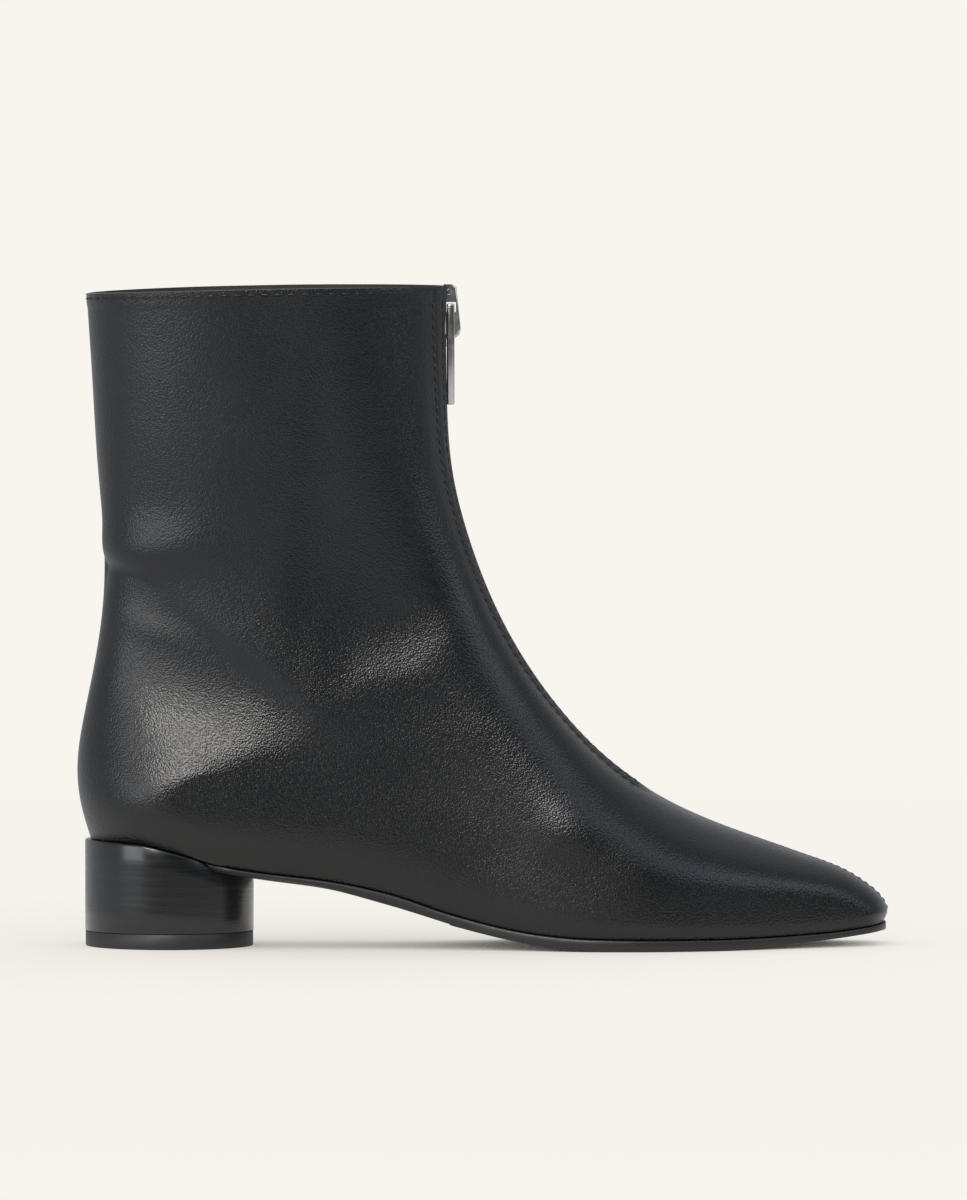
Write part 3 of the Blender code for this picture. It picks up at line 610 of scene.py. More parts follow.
# Black calf leather: aniline dyed, lightly glazed and plated. It gives the eye a deep black with a
# soft grey sheen, broken up by a fine pebble of about 0.6 mm and by slanting wrinkles, stronger in
# patches. The turned edges beside the zip are rubbed dull.
calf_leather, tree, shader, where = new_material("black_calf_leather")
shader.inputs["IOR"].default_value = 1.5
pebble = add_node(tree, "ShaderNodeTexVoronoi", {
    "Vector": where, "Scale": 1.0 / (0.6 * MM), "Smoothness": 0.4}, feature="SMOOTH_F1")
stray = add_node(tree, "ShaderNodeTexNoise", {"Vector": where, "Scale": 1.0 / (4.0 * MM), "Detail": 2.0})
shake = add_node(tree, "ShaderNodeVectorMath", {0: stray.outputs["Color"], 1: (MM, MM, MM)},
                 operation="MULTIPLY")
bent = add_node(tree, "ShaderNodeVectorMath", {0: where, 1: shake.outputs[0]}, operation="ADD")
slant = add_node(tree, "ShaderNodeMapping", {
    "Vector": bent.outputs[0], "Rotation": (0.0, math.radians(-42.0), 0.0),
    "Scale": (2.0 * MM, 1.2 * MM, 0.95 * MM)}, vector_type="TEXTURE")
wrinkle = add_node(tree, "ShaderNodeTexNoise", {"Vector": slant.outputs[0], "Scale": 1.0, "Detail": 2.0})
patches = speckle(tree, where, 26.0, 3.0)
worked = add_node(tree, "ShaderNodeMapRange", {
    "Value": patches, "From Min": 0.25, "From Max": 0.75, "To Min": 0.4, "To Max": 0.8})
wrinkled = add_node(tree, "ShaderNodeMath", {0: wrinkle.outputs["Fac"], 1: worked.outputs["Result"]},
                    operation="MULTIPLY")
grain = add_node(tree, "ShaderNodeMath", {0: wrinkled.outputs[0], 1: pebble.outputs["Distance"]},
                 operation="SUBTRACT")
emboss(tree, shader, grain.outputs[0], 1.0, 0.105)
gloss = add_node(tree, "ShaderNodeMapRange", {
    "Value": patches, "From Min": 0.3, "From Max": 0.7, "To Min": 0.29, "To Max": 0.33})
colour_by(tree, shader, patches, "#090b0e", "#0e1013")
handled = add_node(tree, "ShaderNodeAttribute", attribute_name="rubbed")
dulled = add_node(tree, "ShaderNodeMix", {
    "Factor": handled.outputs["Fac"], "A": gloss.outputs["Result"], "B": 0.62}, data_type="FLOAT")
tree.links.new(dulled.outputs["Result"], shader.inputs["Roughness"])


def cut_panel(side, columns, rows, sink, fine_seam):
    """Bmesh of one panel: cut flat as a grid, then pulled over the last and worked to shape."""
    shape = bmesh.new()
    bmesh.ops.create_grid(shape, x_segments=columns, y_segments=rows, size=0.5)
    bmesh.ops.translate(shape, verts=shape.verts[:], vec=(0.5, 0.5, 0.0))
    if fine_seam:
        top = up_at(VAMP_SEAM_FINE_TO)
        edges = {edge for face in shape.faces for edge in face.edges
                 if face.calc_center_median().x > 0.962 and 0.02 < face.calc_center_median().y < top}
        bmesh.ops.subdivide_edges(shape, edges=list(edges), cuts=2, use_grid_fill=True)
    flat = np.array([vert.co for vert in shape.verts])
    points = panel_points(side, flat[:, 0], flat[:, 1])
    for vert, point in zip(shape.verts, points):
        vert.co = point
    if side == MEDIAL:
        bmesh.ops.reverse_faces(shape, faces=shape.faces[:])
    shape.normal_update()
    lift = leather_lift(side, flat[:, 0], flat[:, 1], points) - sink
    outward = [vert.normal.copy() for vert in shape.verts]
    for vert, height, normal in zip(shape.verts, lift, outward):
        vert.co += normal * height
    from_edge, beside_zip = zip_edge(points, flat[:, 1])
    rubbed = shape.verts.layers.float.new("rubbed")
    for vert, amount in zip(shape.verts, beside_zip * (1.0 - ease(10.0, TURNED_EDGE_WIDE, from_edge))):
        vert[rubbed] = amount
    return shape


for panel_side, panel_name in ((LATERAL, "upper_outer_panel"), (MEDIAL, "upper_inner_panel")):
    panel = new_piece(panel_name, cut_panel(panel_side, PANEL_COLUMNS, PANEL_ROWS, 0.0, True),
                      calf_leather, "boot", "upper_leather", "upper")
    thicken(panel, "leather_wall", LEATHER_THICK)
    rim = panel.modifiers.new("edge_round", "BEVEL")
    rim.width = LEATHER_EDGE_ROUND * MM
    rim.segments = 2
    rim.limit_method = "ANGLE"
    rim.angle_limit = math.radians(55.0)

# The lining: black pigskin glued inside both panels and sewn to them at the collar.
# It has a flat, dull finish with small pores.
LINING_THICK = 0.5
LINING_SINK = LEATHER_THICK + 0.05
lining_leather, tree, shader, where = new_material("black_pigskin_lining")
shader.inputs["Roughness"].default_value = 0.62
pores = add_node(tree, "ShaderNodeTexVoronoi", {"Vector": where, "Scale": 1.0 / (1.6 * MM)})
emboss(tree, shader, pores.outputs["Distance"], 0.4, 0.08)
colour_by(tree, shader, speckle(tree, where, 18.0), "#1a1817", "#242120")
for panel_side, lining_name in ((LATERAL, "lining_outer_side"), (MEDIAL, "lining_inner_side")):
    lining = new_piece(lining_name, cut_panel(panel_side, 70, 80, LINING_SINK, False),
                       lining_leather, "boot", "upper_leather", "upper")
    thicken(lining, "lining_wall", LINING_THICK)

# The stitches: waxed black thread, two rows along each side of the zip and one round the collar.
# Each stitch is a short raised grain that lies in the groove it draws in the leather.
STITCH_THICK = 0.85
STITCH_RISE = 0.1
ZIP_STITCH = 3.3
COLLAR_STITCH = 4.3
thread, tree, shader, where = new_material("waxed_black_thread")
shader.inputs["Base Color"].default_value = linear("#0b0b0b")
ply = speckle(tree, where, 0.3)
gloss_by(tree, shader, ply, 0.35, 0.6)
emboss(tree, shader, ply, 0.4, 0.08)


def lay_stitches(shape, side, across, up, pitch, share):
    """Adds stitches along a line of a panel, given by fine steps across and up it."""
    points = panel_points(side, across, up)
    right = panel_points(side, np.clip(across + 0.004, 0.0, 1.0), up)
    left = panel_points(side, np.clip(across - 0.004, 0.0, 1.0), up)
    above = panel_points(side, across, np.clip(up + 0.004, 0.0, 1.0))
    below = panel_points(side, across, np.clip(up - 0.004, 0.0, 1.0))
    out = np.cross(right - left, above - below) * -side
    out /= np.linalg.norm(out, axis=1)[:, None]
    points = points + out * leather_lift(side, across, up, points)[:, None]
    length = np.concatenate(([0.0], np.cumsum(np.linalg.norm(np.diff(points, axis=0), axis=1))))
    for stop in np.arange(0.5 * pitch, length[-1], pitch):
        middle = Vector([np.interp(stop, length, points[:, axis]) for axis in range(3)])
        ahead = Vector([np.interp(stop + 0.3, length, points[:, axis]) for axis in range(3)]) - middle
        normal = Vector([np.interp(stop, length, out[:, axis]) for axis in range(3)]).normalized()
        ahead = (ahead - normal * ahead.dot(normal)).normalized()
        beside = normal.cross(ahead)
        middle += normal * STITCH_RISE
        place = Matrix.Identity(4)
        place.col[0] = (*(ahead * 0.5 * pitch * share), 0.0)
        place.col[1] = (*(beside * 0.5 * STITCH_THICK), 0.0)
        place.col[2] = (*(normal * 0.5 * STITCH_THICK), 0.0)
        place.col[3] = (*middle, 1.0)
        bmesh.ops.create_uvsphere(shape, u_segments=6, v_segments=6, radius=1.0,
                                  matrix=place @ Matrix.Rotation(math.pi / 2.0, 4, "Y"))


stitching = bmesh.new()
zip_low = up_at(ZIP_START + 6.0)
for panel_side in (LATERAL, MEDIAL):
    for row in ZIP_ROWS:
        row_up = np.linspace(zip_low, 0.992, 160)
        trial_up, trial_across = np.meshgrid(row_up, np.linspace(0.70, 1.0, 90), indexing="ij")
        spots = panel_points(panel_side, trial_across.ravel(), trial_up.ravel())
        from_edge = np.abs(spots[:, 1] - axis_y(spots[:, 0], spots[:, 2])).reshape(trial_up.shape)
        from_edge -= slot_half(course_at(row_up)[0])[:, None]
        row_across = [np.interp(-row, -line, trial_across[0]) for line in from_edge]
        lay_stitches(stitching, panel_side, np.array(row_across), row_up, ZIP_STITCH, 0.78)
    collar_across = np.linspace(0.01, 0.985, 300)
    collar_up = 1.0 - COLLAR_ROW / panel_height(collar_across)
    lay_stitches(stitching, panel_side, collar_across, collar_up, COLLAR_STITCH, 0.72)
new_piece("stitches", stitching, thread, "boot", "upper_leather", "upper")

# The zip's tapes: black woven polyester sewn behind the edges of the opening.
# A close twill shows as fine slanting ribs about 0.7 mm apart.
TAPE_SINK = 2.8
TAPE_THICK = 1.0
TAPE_HALF = 9.0
TAPE_SPLIT = 0.4


def front_frame(run):
    """Point of the centre front in the side view, and the directions along it and straight out of it."""
    x, z = front_point(run)
    before = front_point(max(run - 1.0, 0.0))
    after = front_point(min(run + 1.0, FRONT_LENGTH))
    along = Vector((after[0] - before[0], 0.0, after[1] - before[1])).normalized()
    return Vector((x, 0.0, z)), along, Vector((along.z, 0.0, -along.x))


def crown_drop(run, y):
    """How far the last has dropped below the centre front at y to the side of it."""
    depth = np.interp(run, FRONT_RUN, FRONT_DEPTH)
    square = np.interp(run, FRONT_RUN, FRONT_SQUARE)
    x, z = front_point(run)
    full = min(float(flank(x, z, LATERAL)), float(flank(x, z, MEDIAL)))
    return float(depth * (1.0 - (1.0 - (abs(y) / full) ** square) ** (1.0 / square)))


zip_tape, tree, shader, where = new_material("woven_polyester_tape")
shader.inputs["Roughness"].default_value = 0.8
twill = add_node(tree, "ShaderNodeTexWave", {"Vector": where, "Scale": 2.0 * math.pi / (20.0 * 0.7 * MM)},
                 bands_direction="DIAGONAL")
colour_by(tree, shader, speckle(tree, where, 0.6), "#0f0f10", "#1c1c1d")
emboss(tree, shader, twill.outputs["Fac"], 0.6, 0.15)
for tape_side, tape_name in ((LATERAL, "zip_tape_lateral"), (MEDIAL, "zip_tape_medial")):
    tape_shape = bmesh.new()
    bmesh.ops.create_grid(tape_shape, x_segments=8, y_segments=90, size=0.5)
    for vert in tape_shape.verts:
        tape_y = TAPE_SPLIT + (TAPE_HALF - TAPE_SPLIT) * (vert.co.x + 0.5)
        tape_run = ZIP_START + 4.0 + (FRONT_LENGTH - ZIP_START - 5.0) * (vert.co.y + 0.5)
        start, along, out = front_frame(tape_run)
        place = start - out * (crown_drop(tape_run, tape_y) + TAPE_SINK)
        place.y = float(axis_y(start.x, start.z)) + tape_side * tape_y
        vert.co = place
    if tape_side == LATERAL:
        bmesh.ops.reverse_faces(tape_shape, faces=tape_shape.faces[:])
    tape = new_piece(tape_name + "_weave", tape_shape, zip_tape, "boot", "zip_fabric", tape_name)
    thicken(tape, "tape_wall", TAPE_THICK)

# The zip's teeth: stamped nickel clamped on the tapes, one side's between the other's.
# Bright nickel over brass: a pale, slightly warm mirror, dulled a little by handling.
TOOTH_PITCH = 2.5
TOOTH_ALONG = 1.15
TOOTH_ACROSS = 3.2
TOOTH_DEEP = 1.7
TOOTH_SINK = 1.15
TOOTH_OFF_MIDDLE = 0.85
CHAIN_TOP = FRONT_LENGTH - 19.8
nickel, tree, shader, where = new_material("bright_nickel_plate")
shader.inputs["Metallic"].default_value = 1.0
handling = speckle(tree, where, 3.0, 4.0)
colour_by(tree, shader, handling, "#b9b7b2", "#dedcd7")
gloss_by(tree, shader, handling, 0.14, 0.32)
teeth_shape = bmesh.new()
for number, tooth_run in enumerate(np.arange(ZIP_START + 7.0, CHAIN_TOP, 0.5 * TOOTH_PITCH)):
    tooth_side = LATERAL if number % 2 else MEDIAL
    start, along, out = front_frame(tooth_run)
    middle = start - out * TOOTH_SINK
    middle.y = float(axis_y(start.x, start.z)) + tooth_side * TOOTH_OFF_MIDDLE
    place = Matrix.Identity(4)
    place.col[0] = (*(along * TOOTH_ALONG), 0.0)
    place.col[1] = (0.0, tooth_side * TOOTH_ACROSS, 0.0, 0.0)
    place.col[2] = (*(out * TOOTH_DEEP), 0.0)
    place.col[3] = (*middle, 1.0)
    made = bmesh.ops.create_cube(teeth_shape, size=1.0)["verts"]
    head = [vert for vert in made if vert.co.y < 0.0]
    bmesh.ops.scale(teeth_shape, verts=head, vec=(0.75, 1.0, 0.85))
    bmesh.ops.transform(teeth_shape, matrix=place, verts=made)
bmesh.ops.recalc_face_normals(teeth_shape, faces=teeth_shape.faces[:])
bmesh.ops.bevel(teeth_shape, geom=teeth_shape.edges[:], offset=0.18, segments=1, profile=0.5,
                affect="EDGES", material=-1)
teeth = new_piece("zip_teeth", teeth_shape, nickel, "boot", "zip_metal", "zip_chain")
teeth.data.set_sharp_from_angle(angle=math.radians(35.0))

# The slider: a die-cast body of two plates round the teeth, with a closed crown on its face whose
# window holds the pull tab, and a hollow lock pin through the crown's top. Bright nickel plated.
SLIDER_HALF = 2.75
SLIDER_LOW = 190.5
SLIDER_HIGH = 209.4
SLIDER_BACK = -13.9
SLIDER_FACE = -11.5
CROWN_HALF = 1.5
CROWN_WINDOW_FRONT = -8.45
CROWN_SIDE = ((-12.4, 210.6), (-9.4, 210.5), (-8.3, 209.5), (-6.9, 196.4), (-7.4, 194.4), (-9.0, 193.2),
              (-12.4, 193.2), (-12.4, 201.7), (CROWN_WINDOW_FRONT, 201.7), (CROWN_WINDOW_FRONT, 204.9),
              (-12.4, 204.9))


def add_box(shape, size, middle):
    """Adds a box of a size about its middle, and gives its corners."""
    corners = bmesh.ops.create_cube(shape, size=1.0)["verts"]
    bmesh.ops.scale(shape, verts=corners, vec=size)
    bmesh.ops.translate(shape, verts=corners, vec=middle)
    return corners


SLIDER_MIDDLE = 0.5 * (SLIDER_LOW + SLIDER_HIGH)
slider_shape = bmesh.new()
for plate_back, plate_face in ((SLIDER_FACE - 0.85, SLIDER_FACE), (SLIDER_BACK, SLIDER_BACK + 0.8)):
    plate = add_box(slider_shape, (plate_face - plate_back, 2.0 * SLIDER_HALF, SLIDER_HIGH - SLIDER_LOW),
                    (0.5 * (plate_back + plate_face), 0.0, SLIDER_MIDDLE))
    low = [vert for vert in plate if vert.co.z < SLIDER_MIDDLE]
    bmesh.ops.scale(slider_shape, verts=low, vec=(1.0, 0.8, 1.0))
for flange_y in (-SLIDER_HALF + 0.55, SLIDER_HALF - 0.55):
    for flange_low, flange_high in ((0.3, 4.5), (6.5, 12.0)):
        flange_z = SLIDER_LOW + 0.5 * (flange_low + flange_high)
        add_box(slider_shape, (2.0, 0.8, flange_high - flange_low), (-12.6, flange_y * 0.9, flange_z))
add_box(slider_shape, (2.0, 2.2, 6.0), (-12.7, 0.0, SLIDER_HIGH - 3.2))
bmesh.ops.bevel(slider_shape, geom=slider_shape.edges[:], offset=0.28, segments=2, profile=0.5,
                affect="EDGES", material=-1)
slider = new_piece("zip_slider_body", slider_shape, nickel, "boot", "zip_metal", "zip_slider")
slider.data.set_sharp_from_angle(angle=math.radians(35.0))

crown_shape = bmesh.new()
crown_rim = [crown_shape.verts.new((x, -CROWN_HALF, z)) for x, z in CROWN_SIDE]
crown_shape.faces.new(crown_rim)
grown = bmesh.ops.extrude_face_region(crown_shape, geom=crown_shape.faces[:])["geom"]
bmesh.ops.translate(crown_shape, verts=[item for item in grown if isinstance(item, bmesh.types.BMVert)],
                    vec=(0.0, 2.0 * CROWN_HALF, 0.0))
bmesh.ops.recalc_face_normals(crown_shape, faces=crown_shape.faces[:])
front_edges = [edge for edge in crown_shape.edges
               if abs(edge.verts[0].co.y - edge.verts[1].co.y) < 1e-6
               and min(vert.co.x for vert in edge.verts) > -9.5
               and all(abs(vert.co.x - CROWN_WINDOW_FRONT) > 0.01 for vert in edge.verts)]
bmesh.ops.bevel(crown_shape, geom=front_edges, offset=0.6, segments=4, profile=0.5,
                affect="EDGES", material=-1)
crown = new_piece("zip_slider_crown", crown_shape, nickel, "boot", "zip_metal", "zip_slider")
crown.data.set_sharp_from_angle(angle=math.radians(35.0))

lock_shape = bmesh.new()
lock_place = Matrix.Translation((-10.8, 0.0, 208.1)) @ Matrix.Rotation(math.pi / 2.0, 4, "X")
bmesh.ops.create_cone(lock_shape, cap_ends=True, segments=24, radius1=0.95, radius2=0.95, depth=3.5,
                      matrix=lock_place)
caps = [face for face in lock_shape.faces if abs(face.normal.y) > 0.9]
bmesh.ops.inset_individual(lock_shape, faces=caps, thickness=0.5, depth=-0.5)
bmesh.ops.bevel(lock_shape, geom=[edge for edge in lock_shape.edges if edge.calc_face_angle() > 1.0],
                offset=0.12, segments=2, profile=0.5, affect="EDGES", material=-1)
new_piece("zip_slider_lock_pin", lock_shape, nickel, "boot", "zip_metal", "zip_slider")

# The pull tab: a flat stamped bar with an eye at its top that hangs on the crown and swings on it.
# Bright nickel, with its edges tumbled round.
TAB_PIVOT = Vector((-10.05, 0.0, 203.3))
TAB_LENGTH = 31.0
TAB_THICK = 2.5
TAB_HALF = 3.1
TAB_EYE_HALF = 1.9
TAB_EYE_TOP = -0.9
TAB_EYE_LENGTH = 10.6
TAB_TOP = 1.1
TAB_SET_BACK = 0.1
tab_shape = bmesh.new()
add_box(tab_shape, (TAB_THICK, 2.0 * TAB_HALF, TAB_LENGTH + TAB_TOP),
        (0.0, 0.0, 0.5 * (TAB_TOP - TAB_LENGTH)))
for cut_at, cut_normal in (((0.0, 0.0, TAB_EYE_TOP), (0.0, 0.0, 1.0)),
                           ((0.0, 0.0, -TAB_EYE_LENGTH), (0.0, 0.0, 1.0)),
                           ((0.0, -TAB_EYE_HALF, 0.0), (0.0, 1.0, 0.0)),
                           ((0.0, TAB_EYE_HALF, 0.0), (0.0, 1.0, 0.0))):
    everything = tab_shape.verts[:] + tab_shape.edges[:] + tab_shape.faces[:]
    bmesh.ops.bisect_plane(tab_shape, geom=everything, plane_co=cut_at, plane_no=cut_normal)
eye_faces = [face for face in tab_shape.faces
             if abs(face.normal.x) > 0.9 and abs(face.calc_center_median().y) < TAB_EYE_HALF
             and -TAB_EYE_LENGTH < face.calc_center_median().z < TAB_EYE_TOP]
eye_edges = [edge for face in eye_faces for edge in face.edges]
bmesh.ops.delete(tab_shape, geom=eye_faces, context="FACES_ONLY")
bmesh.ops.bridge_loops(tab_shape, edges=eye_edges)
bmesh.ops.recalc_face_normals(tab_shape, faces=tab_shape.faces[:])
bmesh.ops.dissolve_limit(tab_shape, angle_limit=0.02, verts=tab_shape.verts[:], edges=tab_shape.edges[:])
tab_edges = [edge for edge in tab_shape.edges if edge.calc_face_angle(0.0) > 0.5]
bmesh.ops.bevel(tab_shape, geom=tab_edges, offset=0.5, segments=3, profile=0.5,
                affect="EDGES", material=-1)
bmesh.ops.translate(tab_shape, verts=tab_shape.verts[:], vec=TAB_PIVOT - Vector((TAB_SET_BACK, 0.0, 0.0)))
pull_tab = new_piece("zip_pull_tab_bar", tab_shape, nickel, "pull_tab", "zip_metal", "zip_pull_tab")
pull_tab.data.set_sharp_from_angle(angle=math.radians(40.0))

# The outsole: a single leather sole, its edge trimmed round, inked black and burnished.
# It shows a thin grey line of light along its edge and a matt underside.
GAP = 0.3
SOLE_MARGIN = 1.0
SOLE_INSET = 3.2
SOLE_SHOWS_FROM = -91.0
SOLE_SHOWS_FULLY = -80.0
FOREPART_STEP_AT = -10.0
FOREPART_STEP = 0.5


def outline(inset, side):
    """Lower edge of the upper seen from above, moved in by an inset: x and y from the heel to the toe."""
    share = close_at_ends(500)
    x, z = course_line(0.0, SEAT_Z, share)
    half = half_width(x, z, side)
    half[0] = 0.0
    half[-1] = 0.0
    y = axis_y(x, z) + side * half
    dx = np.gradient(x)
    dy = np.gradient(y)
    size = np.hypot(dx, dy)
    out_x = -side * dy / size
    out_y = side * dx / size
    out_x[0] = -1.0
    out_y[0] = 0.0
    out_x[-1] = 1.0
    out_y[-1] = 0.0
    return x - out_x * inset, y - out_y * inset


def sole_edge(side, at):
    """Edge of the sole as y over x: past the upper along the foot, and tucked in over the heel."""
    far = np.interp(at, *outline(-SOLE_MARGIN, side))
    near = np.interp(at, *outline(SOLE_INSET, side))
    mix = ease(SOLE_SHOWS_FROM, SOLE_SHOWS_FULLY, at)
    return near * (1.0 - mix) + far * mix


def wrap_plate(stations, rim, edges):
    """Closed plate: a grid bent round each station's section, given by rim as (inset, height) pairs."""
    lateral, medial = edges
    section = rim(stations)
    near = [(lateral + inset, height) for inset, height in section]
    far = [(medial - inset, height) for inset, height in section][::-1]
    steps = (0.25, 0.5, 0.75)
    top_fill = [((1.0 - step) * near[0][0] + step * far[-1][0], near[0][1]) for step in steps]
    low_fill = [((1.0 - step) * near[-1][0] + step * far[0][0], near[-1][1]) for step in steps]
    loop = near + low_fill + far + top_fill[::-1] + near[:1]
    shape = bmesh.new()
    bmesh.ops.create_grid(shape, x_segments=len(stations) - 1, y_segments=len(loop) - 1, size=0.5)
    for vert in shape.verts:
        station = round((vert.co.x + 0.5) * (len(stations) - 1))
        place = round((vert.co.y + 0.5) * (len(loop) - 1))
        vert.co = (stations[station], loop[place][0][station], loop[place][1][station])
    bmesh.ops.remove_doubles(shape, verts=shape.verts[:], dist=0.001)
    bmesh.ops.holes_fill(shape, edges=[edge for edge in shape.edges if edge.is_boundary])
    bmesh.ops.recalc_face_normals(shape, faces=shape.faces[:])
    return shape


def sole_rim(at):
    """Section of the sole's edge from its top to its underside."""
    top = bottom("feather", at) - GAP
    low = top - bottom("edge", at)
    step = FOREPART_STEP * (1.0 - ease(FOREPART_STEP_AT - 1.0, FOREPART_STEP_AT, at))
    under = bottom("underside", at) + step
    bevel = bottom("bevel", at)
    none = np.zeros(len(at))
    turn = np.minimum(0.45, 0.45 * (top - low))
    return [(none + 2.0, top), (none + 0.5, top), (none + 0.16, top - 0.14), (none, top - turn),
            (none, 0.5 * (top + low)), (none, low + 0.1), (0.25 * bevel, low - 0.15 * (low - under)),
            (0.62 * bevel, low - 0.62 * (low - under)), (bevel, under + 0.12 * (low - under)),
            (bevel + 0.5, under), (bevel + 2.0, under)]


sole_back = float(outline(SOLE_INSET, LATERAL)[0][0]) + 0.4
sole_front = float(outline(-SOLE_MARGIN, LATERAL)[0][-1]) - 0.25
sole_stations = np.sort(np.append(sole_back + (sole_front - sole_back) * close_at_ends(220),
                                  np.linspace(FOREPART_STEP_AT - 1.2, FOREPART_STEP_AT + 0.2, 8)))
sole_leather, tree, shader, where = new_material("inked_sole_leather")
fibres = stretched(tree, where, (9.0, 9.0, 0.5), 4.0)
colour_by(tree, shader, fibres, "#161617", "#232324")
gloss_by(tree, shader, fibres, 0.3, 0.5)
emboss(tree, shader, fibres, 0.3, 0.1)
sole_edges = (sole_edge(LATERAL, sole_stations), sole_edge(MEDIAL, sole_stations))
outsole = new_piece("outsole_leather", wrap_plate(sole_stations, sole_rim, sole_edges), sole_leather,
                    "boot", "sole_leather", "outsole")
outsole.data.set_sharp_from_angle(angle=math.radians(50.0))

# The heel: a round stack of thin leather lifts, turned on a lathe, inked black and lacquered.
# The lathe leaves fine level lines, which draw every light out into an upright streak.
HEEL_CENTRE = -99.8
HEEL_RADIUS = 26.85
TOP_PIECE_HEIGHT = 4.9
HEEL_JOINT = 0.12
HEEL_LOW_ROUND = 0.16
HEEL_TOP_ROUND = 0.6
HEEL_RIM = 2.4
HEEL_CUP_FLOOR = 18.0
heel_lacquer, tree, shader, where = new_material("lacquered_leather_stack")
shader.inputs["Coat Weight"].default_value = 0.25
shader.inputs["Coat Roughness"].default_value = 0.2
lines = stretched(tree, where, (26.0, 26.0, 0.32), 2.0)
lifts = stretched(tree, where, (34.0, 34.0, 1.3), 3.0)
colour_by(tree, shader, lifts, "#090a0c", "#16181b")
gloss_by(tree, shader, lifts, 0.22, 0.30, 0.3, 0.7)
line_bump = add_node(tree, "ShaderNodeBump", {"Height": lines, "Strength": 1.0, "Distance": 0.016 * MM})
lift_bump = add_node(tree, "ShaderNodeBump", {
    "Height": lifts, "Strength": 1.0, "Distance": 0.035 * MM, "Normal": line_bump.outputs["Normal"]})
tree.links.new(lift_bump.outputs["Normal"], shader.inputs["Normal"])
tree.links.new(line_bump.outputs["Normal"], shader.inputs["Coat Normal"])


def heel_top(x):
    """Height of the heel's rim: up to the upper at the back, and under the sole at the breast."""
    seat = float(bottom("feather", x)) - GAP
    under = float(bottom("underside", x)) + FOREPART_STEP - 0.2
    mix = float(ease(SOLE_SHOWS_FROM, SOLE_SHOWS_FULLY, x))
    return seat * (1.0 - mix) + under * mix


def turn_ring(shape, edges, radius, height):
    """Extrudes a ring of edges and sets the new ring's radius, and its height by a function of x."""
    grown = bmesh.ops.extrude_edge_only(shape, edges=edges)["geom"]
    ring = [item for item in grown if isinstance(item, bmesh.types.BMVert)]
    for vert in ring:
        flat = Vector((vert.co.x - HEEL_CENTRE, vert.co.y)).normalized() * radius
        vert.co = (HEEL_CENTRE + flat.x, flat.y, height(HEEL_CENTRE + flat.x))
    kept = set(ring)
    return [item for item in grown if isinstance(item, bmesh.types.BMEdge)
            and item.verts[0] in kept and item.verts[1] in kept]


heel_low = TOP_PIECE_HEIGHT + HEEL_JOINT
heel_shape = bmesh.new()
bmesh.ops.create_circle(heel_shape, cap_ends=True, segments=160, radius=HEEL_RADIUS - HEEL_LOW_ROUND,
                        matrix=Matrix.Translation((HEEL_CENTRE, 0.0, heel_low)))
heel_ring = heel_shape.edges[:]
heel_ring = turn_ring(heel_shape, heel_ring, HEEL_RADIUS - 0.05, lambda x: heel_low + 0.05)
heel_ring = turn_ring(heel_shape, heel_ring, HEEL_RADIUS, lambda x: heel_low + HEEL_LOW_ROUND)
for heel_share in (0.25, 0.5, 0.75):
    heel_ring = turn_ring(heel_shape, heel_ring, HEEL_RADIUS,
                          lambda x: heel_low + (heel_top(x) - heel_low) * heel_share)
heel_ring = turn_ring(heel_shape, heel_ring, HEEL_RADIUS, lambda x: heel_top(x) - HEEL_TOP_ROUND)
heel_ring = turn_ring(heel_shape, heel_ring, HEEL_RADIUS - 0.18, lambda x: heel_top(x) - 0.18)
heel_ring = turn_ring(heel_shape, heel_ring, HEEL_RADIUS - HEEL_TOP_ROUND, heel_top)
heel_ring = turn_ring(heel_shape, heel_ring, HEEL_RADIUS - HEEL_RIM, heel_top)
heel_ring = turn_ring(heel_shape, heel_ring, HEEL_RADIUS - HEEL_RIM - 0.4, lambda x: HEEL_CUP_FLOOR)
bmesh.ops.contextual_create(heel_shape, geom=heel_ring)
bmesh.ops.recalc_face_normals(heel_shape, faces=heel_shape.faces[:])
heel = new_piece("heel_stack", heel_shape, heel_lacquer, "boot", "heel_stack", "heel")
heel.data.set_sharp_from_angle(angle=math.radians(50.0))

# The top piece: a moulded rubber lift nailed under the heel.
# It is matt, with a faint moulded grit.
TOP_PIECE_INSET = 0.15
top_rubber, tree, shader, where = new_material("moulded_heel_rubber")
grit = speckle(tree, where, 0.6, 3.0)
colour_by(tree, shader, grit, "#17191b", "#222426")
gloss_by(tree, shader, grit, 0.42, 0.62)
emboss(tree, shader, grit, 0.3, 0.08)
lift_radius = HEEL_RADIUS - TOP_PIECE_INSET
lift_shape = bmesh.new()
bmesh.ops.create_circle(lift_shape, cap_ends=True, segments=160, radius=lift_radius - 0.4,
                        matrix=Matrix.Translation((HEEL_CENTRE, 0.0, 0.0)))
lift_ring = lift_shape.edges[:]
lift_rings = ((0.12, 0.1), (0.0, 0.4), (0.0, TOP_PIECE_HEIGHT - 0.14), (0.14, TOP_PIECE_HEIGHT))
for ring_inset, ring_height in lift_rings:
    lift_ring = turn_ring(lift_shape, lift_ring, lift_radius - ring_inset, lambda x: ring_height)
bmesh.ops.contextual_create(lift_shape, geom=lift_ring)
bmesh.ops.recalc_face_normals(lift_shape, faces=lift_shape.faces[:])
top_piece = new_piece("heel_top_piece_rubber", lift_shape, top_rubber,
                      "boot", "top_rubber", "heel_top_piece")
top_piece.data.set_sharp_from_angle(angle=math.radians(50.0))

